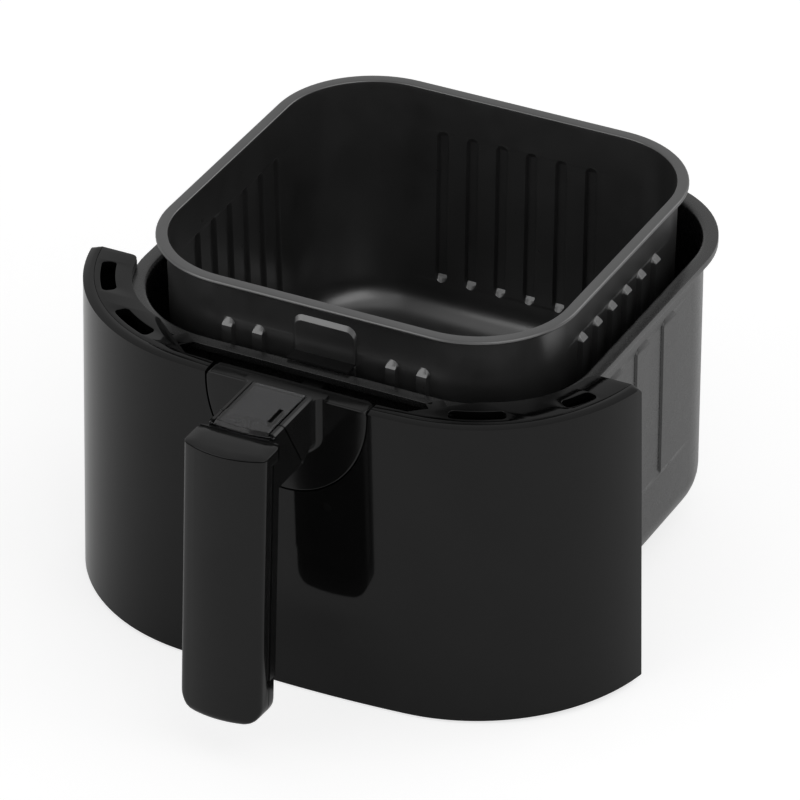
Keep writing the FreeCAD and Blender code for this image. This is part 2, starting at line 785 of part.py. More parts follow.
def fascia_base_cover():
    back = flange_y - fascia_wall - fit_gap
    plate = fascia_form(fascia_wall + fit_gap, base_low_z, base_low_z + base_plate, back)
    return plate.cut(prism(pan_corners(liner_gap), 0, far))


def fascia_screws():
    return Part.makeCompound([screw(place + V(0, end_plate, 0), FORWARD, screw_bite + end_plate)
                              for place in fascia_boss_places()])


# Bracket
def handle_screw_seats():
    return [V(side * handle_screw_x, bracket_front_y + bracket_sheet, arm_low_z + rise)
            for side in (-1, 1) for rise in handle_screw_rise]


def handle_screw_long():
    return bracket_sheet + backing_plate + screw_bite


def latch_way(y0, y1):
    half = latch_half + run_gap
    return block(-half, half, y0, y1, latch_low_z - run_gap, latch_high_z + run_gap)


def pan_front_bracket():
    """Folded hat on the pan's wall, with a tongue and two ears on its front."""
    t = bracket_sheet
    wide = bracket_half + bracket_flange
    wall = -pan_front
    front = bracket_front_y
    half = bracket_half
    corners = [(-wide, wall, 0), (-wide, wall - t, 0), (-half, wall - t, t), (-half, front, 2 * t),
               (half, front, 2 * t), (half, wall - t, t), (wide, wall - t, 0), (wide, wall, 0),
               (half - t, wall, 2 * t), (half - t, front + t, t), (t - half, front + t, t),
               (t - half, wall, 2 * t)]
    hat = prism(corners, bracket_low_z, bracket_high_z)
    tongue = block(-bracket_tongue_half, bracket_tongue_half, front, front + t, bracket_low_z, bracket_tongue_z)
    ears = block(-ear_half, ear_half, front, front + t, ear_low_z, ear_high_z)
    holes = [screw_hole(seat, FORWARD, t) for seat in handle_screw_seats() + ear_screw_seats()]
    return fuse([hat, tongue, ears]).cut(Part.makeCompound(holes)).cut(latch_way(-far, far))


def bracket_screws():
    return Part.makeCompound([screw(seat, FORWARD, screw_bite) for seat in ear_screw_seats()])


# Handle
def handle_backing_plate():
    plate = plate_form(-backing_inset, plate_top_z, plate_corner_r, plate_back_y, bracket_front_y)
    holes = [screw_hole(seat, FORWARD, handle_screw_long()) for seat in handle_screw_seats()]
    return plate.cut(Part.makeCompound(holes)).cut(latch_way(-far, far))


def handle_screws():
    return Part.makeCompound([screw(seat, FORWARD, handle_screw_long()) for seat in handle_screw_seats()])


def seam_region():
    """Everything behind the slanted parting of the arm."""
    low = V(0, -(fascia_front + seam_low_reach), arm_low_z)
    high = V(0, -(fascia_front + seam_high_reach), arm_top_z)
    slope = (high.y - low.y) / (high.z - low.z)
    top_y = low.y + slope * (far - low.z)
    low_y = low.y - slope * low.z
    return side_prism([(low_y, 0), (top_y, far), (far, far), (far, 0)], far)


def rail():
    """Overhanging rail along one edge of the arm's top, which holds the cover's flange."""
    front = cover_front_y + cover_lip + run_gap
    low = arm_top_z - over
    corners = [(arm_half, low, 0), (arm_half, rail_top_z - rail_bevel, 0),
               (arm_half - rail_bevel, rail_top_z, 0), (rail_lip_in, rail_top_z, 0),
               (rail_lip_in, rail_low_z, 0), (rail_in, rail_low_z, 0), (rail_in, low, 0)]
    return Part.Face(outline(corners, on_xz(front))).extrude(V(0, cover_back_y - front, 0))


def arm():
    end_y = trim_y + trim_layer + arm_bite
    shape = block(-arm_half, arm_half, end_y, plate_back_y - over, arm_low_z, arm_top_z)
    edges = [e for e in shape.Edges if e.BoundBox.YLength > over and e.CenterOfMass.z < arm_low_z + over]
    return fuse([shape.makeFillet(arm_edge_r, edges)] + both_sides(rail()))


def pocket():
    """Hollow of the arm, around a rest for the latch and two spring posts."""
    room = block(-pocket_half, pocket_half, pocket_front_y, pocket_back_y, pocket_floor_z, arm_top_z + over / 2)
    room = room.cut(block(-latch_half, latch_half, pocket_front_y, pocket_back_y, pocket_floor_z,
                          latch_low_z - run_gap))
    for side in (-1, 1):
        foot = V(side * spring_x, -(fascia_front + spring_reach), pocket_floor_z)
        room = room.cut(peg(foot, V(0, 0, 1), spring_post_z - pocket_floor_z, spring_post_r))
    return room


def handle_base():
    plate = plate_form(0, plate_top_z, plate_corner_r, -far, plate_back_y)
    plate = plate.common(fascia_form(0, fascia_bottom_z, fascia_top_z + 4 * over))
    body = plate.fuse(arm().common(seam_region())).removeSplitter()
    face_y = -fascia_front
    root = [e for e in body.Edges if abs(e.CenterOfMass.y - face_y) < over
            and abs(e.CenterOfMass.x) < arm_half + over and arm_low_z - over < e.CenterOfMass.z < arm_top_z
            and e.BoundBox.YLength < over]
    body = body.makeFillet(arm_root_r, root)
    holes = [screw_hole(seat, FORWARD, handle_screw_long()) for seat in handle_screw_seats()]
    return body.cut(pocket()).cut(Part.makeCompound(holes)).cut(latch_way(pocket_back_y - over, far))


def lean(shape):
    """The grip's pieces are made upright, then turned about the arm's top edge."""
    leaning = shape.copy()
    leaning.rotate(V(0, grip_top_y, arm_top_z), V(1, 0, 0), -grip_lean)
    return leaning


def grip_form(inset):
    half = grip_half - inset
    low = grip_low_z
    high = arm_top_z + grip_side
    front = grip_top_y
    rear = grip_rear_y
    front_mid = V(0, front - grip_front_bulge + inset, low)
    rear_mid = V(0, rear + grip_rear_bulge - inset, low)
    edges = [Part.Arc(V(-half, front, low), front_mid, V(half, front, low)).toShape(),
             Part.makeLine(V(half, front, low), V(half, rear, low)),
             Part.Arc(V(half, rear, low), rear_mid, V(-half, rear, low)).toShape(),
             Part.makeLine(V(-half, rear, low), V(-half, front, low))]
    body = Part.Face(Part.Wire(edges)).extrude(V(0, 0, high - low))
    body = body.makeFillet(grip_edge_r, [e for e in body.Edges if e.BoundBox.ZLength > over])
    front_view = [(-half, low + inset, grip_corner_r), (half, low + inset, grip_corner_r),
                  (half, high, 0), (-half, high, 0)]
    side_view = [(front_mid.y, low, grip_foot_r), (rear_mid.y, low, grip_foot_r),
                 (rear_mid.y, high, 0), (front_mid.y, high, 0)]
    body = body.common(Part.Face(outline(front_view, on_xz(-far))).extrude(V(0, 2 * far, 0)))
    return body.common(Part.Face(outline(side_view, on_yz(-far))).extrude(V(2 * far, 0, 0)))


def grip_layer(y0, y1, z0, z1):
    return block(-far, far, y0, y1, z0, z1)


def grip_screw_seats():
    return [V(0, grip_rear_y, z) for z in (grip_low_z + grip_screw_rise, arm_top_z - grip_screw_drop)]


def grip_screw_long():
    return grip_side - front_layer / 2


def grip_holes():
    holes = []
    for seat in grip_screw_seats():
        holes.append(screw_hole(seat, FORWARD, grip_screw_long()))
        holes.append(peg(seat, V(0, 1, 0), 2 * grip_side, screw_head_r + fit_gap))
    return lean(Part.makeCompound(holes))


def grip_core_form():
    return lean(block(-core_half, core_half, grip_top_y + core_depth, grip_top_y + core_depth + core_thick,
                      grip_low_z + core_rise, arm_top_z - core_drop))


def grip_layers():
    """The grip cut into its front shell, trim and rear shell, which also ends the arm."""
    above = block(-far, far, -far, far, arm_top_z, far)
    body = lean(grip_form(0)).cut(above)
    front_zone = lean(fuse([grip_layer(-far, trim_y, groove_z, cap_z), grip_layer(-far, far, -far, groove_z),
                            grip_layer(-far, grip_rear_y, cap_z, far)]))
    trim_zone = lean(grip_layer(trim_y, trim_y + trim_layer, groove_z, cap_z))
    front = body.common(front_zone)
    trim = lean(grip_form(trim_inset)).common(trim_zone)
    rear = fuse([body, arm().cut(seam_region())]).cut(front_zone).cut(trim_zone)
    rear = rear.cut(pocket()).cut(grip_core_form())
    holes = grip_holes()
    return front.cut(holes), trim.cut(holes), rear.cut(holes)


def grip_screws():
    return lean(Part.makeCompound([screw(seat, FORWARD, grip_screw_long()) for seat in grip_screw_seats()]))


# Cover, button and latch
def slide_cover():
    """Flat pane on a flange that runs under the arm's rails, with a finger lip along its front."""
    lip_y = cover_front_y + cover_lip
    flange = block(-flange_half, flange_half, lip_y, cover_back_y, cover_low_z, cover_low_z + flange_thick)
    pane = block(-pane_half, pane_half, cover_front_y + cover_lip / 2, cover_back_y, cover_low_z, cover_top_z)
    pane = pane.makeChamfer(cover_bevel, [e for e in pane.Edges if e.BoundBox.YLength > over
                                          and e.CenterOfMass.z > cover_top_z - over / 2])
    lip = side_prism([(cover_front_y, cover_low_z), (lip_y, cover_low_z), (lip_y, cover_top_z),
                      (cover_front_y + cover_lip_bevel, cover_top_z),
                      (cover_front_y, cover_top_z - cover_lip_bevel)], arm_half)
    return fuse([flange, pane, lip])


def release_button():
    back = pocket_back_y - 2 * run_gap
    front = back - button_long
    half = button_half
    edges = [Part.Arc(V(-half, front, button_low_z), V(0, front + button_bow, button_low_z),
                      V(half, front, button_low_z)).toShape(),
             Part.makeLine(V(half, front, button_low_z), V(half, back, button_low_z)),
             Part.makeLine(V(half, back, button_low_z), V(-half, back, button_low_z)),
             Part.makeLine(V(-half, back, button_low_z), V(-half, front, button_low_z))]
    plate = Part.Face(Part.Wire(edges)).extrude(V(0, 0, button_plate))
    slit_half = button_slit_wide / 2
    slit = block(button_slit_x - slit_half, button_slit_x + slit_half, front - over, front + button_slit_long,
                 button_low_z - over, button_top_z + over)
    return fuse([plate.cut(slit)] + both_sides(button_cheek()))


def button_cheek():
    """Side plate with a slanted slot: pressing it down draws the latch's pin forward."""
    inner = latch_half + run_gap
    outer = inner + cheek_thick
    room = pin_r + run_gap
    low = latch_mid_z - room - cheek_thick
    wall = 2 * cheek_thick
    front = pin_y - button_travel - room - wall
    cheek = block(inner, outer, front, pin_y + room + wall, low, button_low_z)
    start = V(inner - over, pin_y, latch_mid_z)
    end = V(inner - over, pin_y - button_travel, latch_mid_z + button_travel)
    way = cheek_thick + 2 * over
    slot = [rod(p, V(1, 0, 0), way, room) for p in (start, end)]
    across = V(0, 1, 1) * (room / math.sqrt(2))
    band = Part.makePolygon([start + across, end + across, end - across, start - across, start + across])
    slot.append(Part.Face(band).extrude(V(way, 0, 0)))
    return cheek.cut(fuse(slot))


def latch_slider():
    tip = -(catch_face + tongue_gap)
    front = pin_y - latch_front
    side = [(front, latch_low_z), (tip, latch_low_z), (tip, latch_high_z - latch_bevel),
            (tip - latch_bevel, latch_high_z), (front, latch_high_z)]
    bar = side_prism(side, latch_half)
    return bar.cut(rod(V(-far, pin_y, latch_mid_z), V(1, 0, 0), 2 * far, pin_r + fit_gap))


def latch_pin():
    half = latch_half + run_gap + cheek_thick
    return rod(V(-half, pin_y, latch_mid_z), V(1, 0, 0), 2 * half, pin_r)


def coil_ends():
    """Lowest and highest place of the springs' centre line."""
    ease = spring_wire / 2 + fit_gap
    return spring_post_z + ease, button_low_z - ease


def button_springs():
    """Two coils of square wire, each one unbroken tube."""
    low, high = coil_ends()
    half = spring_wire / 2
    path = Part.makeHelix((high - low) / spring_turns, high - low, spring_r)
    corners = rectangle(spring_r - half, spring_r + half, -half, half)
    coil = Part.Wire(path).makePipeShell([outline(corners, on_xz(0))], True, True)
    coils = []
    for side in (-1, 1):
        copy = coil.copy()
        copy.translate(V(side * spring_x, -(fascia_front + spring_reach), low))
        coils.append(copy)
    return Part.makeCompound(coils)


def print_coil_gap():
    """Least gap of a coil to itself, measured on points a half turn or more apart."""
    low, high = coil_ends()
    steps = 24
    points = []
    for i in range(steps * spring_turns + 1):
        angle = 2 * math.pi * i / steps
        rise = (high - low) * i / (steps * spring_turns)
        points.append(V(spring_r * math.cos(angle), spring_r * math.sin(angle), rise))
    gaps = [points[i].distanceToPoint(points[j]) - spring_wire * math.sqrt(2)
            for i in range(len(points)) for j in range(i + steps // 2, len(points))]
    print("least gap of a spring to itself: %.2f mm" % min(gaps))


shell = fascia_shell()
grip_front, grip_middle, grip_rear = grip_layers()
pieces = {
    "outer_pan": outer_pan(),
    "pan_front_bracket": pan_front_bracket(),
    "fascia_shell": shell,
    "fascia_deck_left": deck(-1),
    "fascia_deck_right": deck(1),
    "fascia_liner": fascia_liner(shell),
    "fascia_base_cover": fascia_base_cover(),
    "fascia_screws": fascia_screws(),
    "bracket_screws": bracket_screws(),
    "handle_base": handle_base(),
    "handle_backing_plate": handle_backing_plate(),
    "handle_screws": handle_screws(),
    "grip_front_shell": grip_front,
    "grip_trim": grip_middle,
    "grip_rear_shell": grip_rear,
    "grip_core": grip_core_form().cut(grip_holes()),
    "grip_screws": grip_screws(),
    "slide_cover": slide_cover(),
    "release_button": release_button(),
    "button_springs": button_springs(),
    "latch_slider": latch_slider(),
    "latch_pin": latch_pin(),
    "basket_shell": basket_shell(),
    "basket_front_lug": basket_front_lug(),
    "basket_rear_lug": basket_rear_lug(),
    "basket_rivets": basket_rivets(),
}

print_coil_gap()
for name, shape in pieces.items():
    box = shape.BoundBox
    print("%-22s solids %d valid %s  X %.1f %.1f  Y %.1f %.1f  Z %.1f %.1f" % (
        name, len(shape.Solids), shape.isValid(), box.XMin, box.XMax, box.YMin, box.YMax, box.ZMin, box.ZMax))
    shape.exportStep("parts/%s.step" % name)
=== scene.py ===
import math

import bmesh
import bpy
from bpy.props import FloatProperty, FloatVectorProperty, IntProperty, PointerProperty
from bpy.types import Operator, Panel, PropertyGroup
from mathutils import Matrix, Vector
from mathutils.geometry import tessellate_polygon


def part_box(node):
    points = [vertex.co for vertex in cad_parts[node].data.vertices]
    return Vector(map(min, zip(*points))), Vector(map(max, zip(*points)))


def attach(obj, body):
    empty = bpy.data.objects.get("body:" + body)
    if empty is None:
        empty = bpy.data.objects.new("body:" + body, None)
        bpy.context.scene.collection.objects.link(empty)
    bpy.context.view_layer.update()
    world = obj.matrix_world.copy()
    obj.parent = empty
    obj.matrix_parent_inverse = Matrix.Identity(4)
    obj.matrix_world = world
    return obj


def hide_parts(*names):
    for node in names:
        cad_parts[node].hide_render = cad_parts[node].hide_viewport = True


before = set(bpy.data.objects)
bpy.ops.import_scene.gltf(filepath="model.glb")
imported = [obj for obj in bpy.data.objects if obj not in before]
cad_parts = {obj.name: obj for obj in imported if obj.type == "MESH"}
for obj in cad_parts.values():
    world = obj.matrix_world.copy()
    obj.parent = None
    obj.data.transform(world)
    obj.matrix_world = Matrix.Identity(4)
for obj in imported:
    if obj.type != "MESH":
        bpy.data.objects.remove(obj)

bl_info = {
    "name": "Air fryer drawer",
    "version": (1, 0, 0),
    "blender": (4, 5, 0),
    "location": "View3D > Sidebar > Drawer",
    "description": "Pan, lift-out basket, curved fascia and handle of an air fryer's drawer",
    "category": "Object",
}

# Shapes are worked out in millimetres, X to the right, Y to the back and Z up, and scaled at the end
MM = 0.001


def corners(node):
    low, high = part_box(node)
    return low / MM, high / MM


PAN_LOW, PAN_HIGH = corners("outer_pan")
BASKET_LOW, BASKET_HIGH = corners("basket_shell")
FASCIA_LOW, FASCIA_HIGH = corners("fascia_shell")
COVER_LOW, COVER_HIGH = corners("slide_cover")
LUG_LOW, LUG_HIGH = corners("basket_front_lug")
DECK_UNDER = corners("fascia_deck_right")[0].z

# The middle of the fascia's face at its top, cleared of the frame's last digits, and the arm's top
FRONT_FLARE = 0.5
FACE_Y = round(FASCIA_LOW.y + FRONT_FLARE, 3)
ARM_RISE = 2.0
ARM_TOP = FASCIA_HIGH.z + ARM_RISE


# Settings
def length(name, description, millimetres):
    return FloatProperty(name=name, description=description, default=millimetres * MM, min=0.0,
                         precision=5, unit="LENGTH")


def colour(name, description, grey):
    return FloatVectorProperty(name=name, description=description, default=(grey, grey, grey), size=3,
                               min=0.0, max=1.0, subtype="COLOR")


class PanSettings(PropertyGroup):
    """Sizes of the deep drawn pan"""
    rim_reach: length("Rim reach", "How far the rim stands out from the wall", 6.9)
    rim_depth: length("Rim depth", "Height of the rolled rim", 3.5)
    corner: length("Corner radius", "Radius of the upright corners", 54.3)
    sheet: length("Sheet", "Thickness of the pan's sheet", 1.2)
    floor_rise: length("Floor rise", "Floor above the worktop", 10.4)
    floor_round: length("Floor rounding", "Rounding from the wall to the floor", 20.0)
    well_half: length("Well half width", "Half width of the pressed-down floor", 70.0)
    well_corner: length("Well corner radius", "Corner radius of the pressed-down floor", 34.0)
    well_slope: length("Well slope", "How far the well's wall leans out", 6.0)
    pad_width: length("Pad width", "Width of a pad pressed out of a side wall", 15.0)
    pad_pitch: length("Pad pitch", "Distance between pads", 30.0)
    pad_proud: length("Pad height", "How far a pad stands out", 1.0)
    colour: colour("Coating", "Colour of the pan's coating", 0.010)


class BasketSettings(PropertyGroup):
    """Sizes of the lift-out basket"""
    rim_reach: length("Rim reach", "How far the rim stands out from the wall", 5.0)
    rim_depth: length("Rim depth", "Height of the rim", 2.5)
    corner: length("Corner radius", "Radius of the upright corners", 47.0)
    sheet: length("Sheet", "Thickness of the basket's sheet", 1.0)
    taper: length("Taper", "How far the wall leans in towards the floor", 2.9)
    floor_round: length("Floor rounding", "Rounding from the wall to the floor", 16.0)
    rib_width: length("Rib width", "Width of a rib pressed out of the wall", 6.4)
    rib_proud: length("Rib height", "How far a rib stands out", 2.6)
    rib_pitch: length("Rib pitch", "Distance between ribs", 16.3)
    rib_point: length("Rib point", "Length of a rib's pointed end", 3.6)
    hole_radius: length("Hole radius", "Radius of a hole in the floor", 4.0)
    hole_pitch: length("Hole pitch", "Distance between holes", 23.0)
    hole_count: IntProperty(name="Holes in a row", description="Holes along each side of the pattern",
                            default=6, min=1, max=12)
    colour: colour("Coating", "Colour of the basket's coating", 0.017)


class FasciaSettings(PropertyGroup):
    """Sizes of the curved front"""
    front_radius: length("Front radius", "Radius of the long front curve", 822.0)
    corner_radius: length("Corner radius", "Radius towards the ends", 96.0)
    flare: length("Flare", "How much wider the ends are at the bottom", 3.1)
    front_flare: length("Front flare", "How much further the front stands at the bottom",
                        FRONT_FLARE)
    end_rise: length("End rise", "Bottom edge at the ends above the middle", 2.6)
    wall: length("Wall", "Thickness of the wall", 2.6)
    top_band: length("Top band", "Width of the wall's thickened top", 5.3)
    top_fall: length("Top fall", "How far the top slopes down to the front", 0.9)
    top_run: length("Top run", "Width of the slope along the top edge", 3.0)
    colour: colour("Gloss black", "Colour of the glossy front", 0.004)


class HandleSettings(PropertyGroup):
    """Sizes of the handle and its plate"""
    plate_half: length("Plate half width", "Half width of the D-shaped plate", 42.3)
    plate_drop: length("Plate drop", "Height of the plate's half ellipse", 49.0)
    plate_side: length("Plate side", "Straight side above the half ellipse", 4.0)
    plate_round: length("Plate rounding", "Rounding of the plate's edge", 0.9)
    arm_half: length("Arm half width", "Half width of the arm", 17.0)
    arm_high: length("Arm height", "Height of the arm", 28.9)
    root: length("Root rounding", "Rounding from the arm to the plate", 4.0)
    grip_half: length("Grip half width", "Half width of the grip", 21.4)
    grip_long: length("Grip length", "Length of the grip", 144.0)
    grip_round: length("Grip edge", "Rounding of the grip's upright edges", 3.4)
    colour: colour("Satin black", "Colour of the handle", 0.0045)


class DrawerSettings(PropertyGroup):
    """All settings of the drawer"""
    pan: PointerProperty(type=PanSettings)
    basket: PointerProperty(type=BasketSettings)
    fascia: PointerProperty(type=FasciaSettings)
    handle: PointerProperty(type=HandleSettings)


class Sizes:
    """A settings group read in millimetres."""

    def __init__(self, group):
        self.group = group

    def __getattr__(self, name):
        return getattr(self.group, name) / MM


def settings():
    return bpy.context.scene.drawer


def sizes(part):
    return Sizes(getattr(settings(), part))


# Finishes
BUMP_DEPTH = 0.0001


class Value:
    """A node's socket that can be added, subtracted and multiplied."""

    def __init__(self, nodes, socket):
        self.nodes = nodes
        self.socket = socket

    def maths(self, operation, first, second):
        return self.nodes.node("ShaderNodeMath", {"operation": operation}, {0: first, 1: second})

    def __add__(self, other):
        return self.maths("ADD", self, other)

    def __sub__(self, other):
        return self.maths("SUBTRACT", self, other)

    def __rsub__(self, other):
        return self.maths("SUBTRACT", other, self)

    def __mul__(self, other):
        return self.maths("MULTIPLY", self, other)

    __radd__ = __add__
    __rmul__ = __mul__


class Nodes:
    """A tree that is filled node by node."""

    def __init__(self, tree):
        self.tree = tree
        tree.nodes.clear()

    def node(self, kind, options=None, sockets=None, output=0):
        made = self.tree.nodes.new(kind)
        for key, value in (options or {}).items():
            setattr(made, key, value)
        for key, value in (sockets or {}).items():
            if isinstance(value, Value):
                self.tree.links.new(value.socket, made.inputs[key])
            else:
                made.inputs[key].default_value = value
        return Value(self, made.outputs[output]) if made.outputs else None


class Finish(Nodes):
    """One material and the nodes that make its surface."""

    def __init__(self, name):
        self.material = bpy.data.materials.new(name)
        self.material.use_nodes = True
        super().__init__(self.material.node_tree)

    def noise(self, scale, detail=3.0):
        place = self.node("ShaderNodeTexCoord", output="Object")
        return self.node("ShaderNodeTexNoise", sockets={"Vector": place, "Scale": scale, "Detail": detail})

    def spread(self, value, low, high):
        """Stretches a narrow band of a value to the whole of 0 to 1."""
        return self.node("ShaderNodeMapRange", sockets={"Value": value, "From Min": low, "From Max": high})

    def blend(self, factor, first, second):
        a = (*first, 1.0)
        b = (*second, 1.0)
        return self.node("ShaderNodeMix", {"data_type": "RGBA"}, {0: factor, 6: a, 7: b}, 2)

    def bump(self, height, strength):
        sockets = {"Height": height, "Strength": strength, "Distance": BUMP_DEPTH}
        return self.node("ShaderNodeBump", sockets=sockets)

    def surface(self, sockets):
        shader = self.node("ShaderNodeBsdfPrincipled", sockets=sockets)
        self.node("ShaderNodeOutputMaterial", sockets={"Surface": shader})
        return self.material


def shade(colour, factor):
    return tuple(min(1.0, part * factor) for part in colour)


def coating(name, colour, roughness, specular, density=1.5):
    """Non-stick coating: faint mottling, fine flecks and a slight orange peel."""
    finish = Finish(name)
    cloud = finish.spread(finish.noise(scale=45.0), low=0.35, high=0.65)
    fleck = finish.spread(finish.noise(scale=1900.0, detail=1.0), low=0.62, high=0.72)
    tint = finish.blend(cloud * 0.8 + fleck * 0.2, shade(colour, 0.82), shade(colour, 1.25))
    gloss = roughness + (finish.noise(scale=160.0) - 0.5) * 0.1 + fleck * 0.05
    peel = finish.bump(finish.noise(scale=900.0, detail=1.0), strength=0.02)
    return finish.surface({"Base Color": tint, "Roughness": gloss, "Normal": peel,
                           "Specular IOR Level": specular, "IOR": density})


def plastic(name, colour, roughness, specular, grain=2200.0, depth=0.03):
    """Moulded plastic: a little uneven in gloss, with a fine mould grain."""
    finish = Finish(name)
    cloud = finish.spread(finish.noise(scale=30.0), low=0.35, high=0.65)
    tint = finish.blend(cloud, shade(colour, 0.88), shade(colour, 1.12))
    smear = finish.noise(scale=90.0)
    gloss = roughness + (smear - 0.5) * (0.3 * roughness)
    mould = finish.bump(finish.noise(scale=grain, detail=2.0), strength=depth)
    return finish.surface({"Base Color": tint, "Roughness": gloss, "Normal": mould,
                           "Specular IOR Level": specular})


def smoked(name):
    """Clear plastic tinted dark."""
    finish = Finish(name)
    cloud = finish.noise(scale=60.0)
    tint = finish.blend(cloud, (0.24, 0.24, 0.25), (0.27, 0.27, 0.28))
    gloss = 0.03 + finish.noise(scale=300.0) * 0.03
    return finish.surface({"Base Color": tint, "Roughness": gloss, "Transmission Weight": 1.0, "IOR": 1.42})


def steel(name):
    """Plated steel with fine turning marks."""
    finish = Finish(name)
    cloud = finish.spread(finish.noise(scale=400.0), low=0.3, high=0.7)
    tint = finish.blend(cloud, (0.42, 0.42, 0.43), (0.58, 0.58, 0.59))
    gloss = 0.28 + finish.noise(scale=2500.0) * 0.15
    return finish.surface({"Base Color": tint, "Roughness": gloss, "Metallic": 1.0})


# For each slot: its maker, the part whose colour it takes, a factor on that colour, and how it looks
COLOURED = {
    "pan_coating": (coating, "pan", 1.0, {"roughness": 0.27, "specular": 0.8}),
    "basket_coating": (coating, "basket", 1.0, {"roughness": 0.3, "specular": 1.0, "density": 1.7}),
    "bracket_black": (coating, "handle", 1.2, {"roughness": 0.6, "specular": 0.15}),
    "fascia_black": (plastic, "fascia", 1.0, {"roughness": 0.05, "specular": 0.26, "grain": 400.0,
                                              "depth": 0.002}),
    "deck_black": (plastic, "handle", 0.4, {"roughness": 0.07, "specular": 0.25, "grain": 400.0,
                                            "depth": 0.004}),
    "handle_black": (plastic, "handle", 1.0, {"roughness": 0.17, "specular": 0.29}),
    "trim_grey": (plastic, "handle", 0.7, {"roughness": 0.4, "specular": 0.2}),
    "liner_black": (plastic, "handle", 1.6, {"roughness": 0.5, "specular": 0.3, "grain": 900.0,
                                             "depth": 0.08}),
    # The button takes the handle's colour raised nine times: painted light, making up for the light that
    # the smoked cover keeps from it
    "button_black": (plastic, "handle", 9.0, {"roughness": 0.3, "specular": 0.3}),
}
UNCOLOURED = {"screw_steel": steel, "cover_smoked": smoked}
made_finishes = {}


def finish_of(slot):
    """The material of a slot, made the first time that it is asked for."""
    if slot not in made_finishes:
        if slot in UNCOLOURED:
            made_finishes[slot] = UNCOLOURED[slot](slot)
        else:
            maker, part, factor, look = COLOURED[slot]
            made_finishes[slot] = maker(slot, shade(getattr(settings(), part).colour, factor), **look)
    return made_finishes[slot]


# Mesh helpers
def skin(rings, wrap=True, caps=False):
    """Faces that join each ring of points to the next, with caps on the first and the last."""
    form = bmesh.new()
    rows = [[form.verts.new(point) for point in ring] for ring in rings]
    count = len(rows[0])
    for low, high in zip(rows, rows[1:]):
        for i in range(count if wrap else count - 1):
            j = (i + 1) % count
            form.faces.new((low[i], low[j], high[j], high[i]))
    if caps:
        form.faces.new(reversed(rows[0]))
        form.faces.new(rows[-1])
    return form


def tidy(form, gap=0.002):
    bmesh.ops.remove_doubles(form, verts=form.verts, dist=gap)
    bmesh.ops.recalc_face_normals(form, faces=form.faces)
    return form


def loose_object(form, name):
    mesh = bpy.data.meshes.new(name)
    form.to_mesh(mesh)
    form.free()
    obj = bpy.data.objects.new(name, mesh)
    bpy.context.scene.collection.objects.link(obj)
    return obj


def evaluated_mesh(obj):
    """The object's mesh with its modifiers in it, after which the object is gone."""
    bpy.context.view_layer.update()
    mesh = bpy.data.meshes.new_from_object(obj.evaluated_get(bpy.context.evaluated_depsgraph_get()))
    bpy.data.objects.remove(obj)
    return mesh


def form_of(mesh):
    form = bmesh.new()
    form.from_mesh(mesh)
    bpy.data.meshes.remove(mesh)
    return form


def combine(first, second, operation):
    """The two forms joined, cut or shared."""
    body = loose_object(tidy(first), "body")
    tool = loose_object(tidy(second), "tool")
    modifier = body.modifiers.new("combine", "BOOLEAN")
    modifier.operation = operation
    modifier.solver = "EXACT"
    modifier.object = tool
    form = form_of(evaluated_mesh(body))
    bpy.data.objects.remove(tool)
    return form


def softened(form, width, segments=3, angle=32.0):
    """The form with its sharp edges rounded."""
    bmesh.ops.dissolve_limit(form, angle_limit=math.radians(1.0), verts=form.verts, edges=form.edges)
    obj = loose_object(form, "soft")
    modifier = obj.modifiers.new("soft", "BEVEL")
    modifier.width = width
    modifier.segments = segments
    modifier.limit_method = "ANGLE"
    modifier.angle_limit = math.radians(angle)
    return form_of(evaluated_mesh(obj))


def copy_of(node):
    """A node's own shape in millimetres, with its triangles joined."""
    form = bmesh.new()
    form.from_mesh(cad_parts[node].data)
    bmesh.ops.scale(form, vec=(1 / MM, 1 / MM, 1 / MM), verts=form.verts)
    return tidy(form)


def piece(form, name, slot, body, *nodes, crisp=35.0):
    """A finished piece of the object, riding on its body in place of its nodes."""
    tidy(form)
    bmesh.ops.scale(form, vec=(MM, MM, MM), verts=form.verts)
    obj = loose_object(form, name)
    obj.data.shade_smooth()
    obj.data.set_sharp_from_angle(angle=math.radians(crisp))
    obj.data.materials.clear()
    obj.data.materials.append(finish_of(slot))
    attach(obj, body)
    if nodes:
        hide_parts(*nodes)
    return obj


def dress(slot, *nodes):
    """Nodes whose shape stays get their finish."""
    for node in nodes:
        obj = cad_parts[node]
        obj.data.materials.clear()
        obj.data.materials.append(finish_of(slot))


def arc(u, v, r, start, end, steps):
    """Points of an arc, with angles in degrees."""
    points = []
    for i in range(steps + 1):
        angle = math.radians(start + (end - start) * i / steps)
        points.append((u + r * math.cos(angle), v + r * math.sin(angle)))
    return points


MITRE_LIMIT = 0.4


def inset(points, distance):
    """A closed outline moved to its left by a distance, with mitred corners."""
    moved = []
    for i, here in enumerate(points):
        before = Vector(here) - Vector(points[i - 1])
        after = Vector(points[(i + 1) % len(points)]) - Vector(here)
        turn = (before.normalized() + after.normalized()).normalized()
        left = Vector((-turn.y, turn.x))
        mitre = max(MITRE_LIMIT, abs(turn.dot(after.normalized())))
        moved.append(Vector(here) + left * (distance / mitre))
    return moved


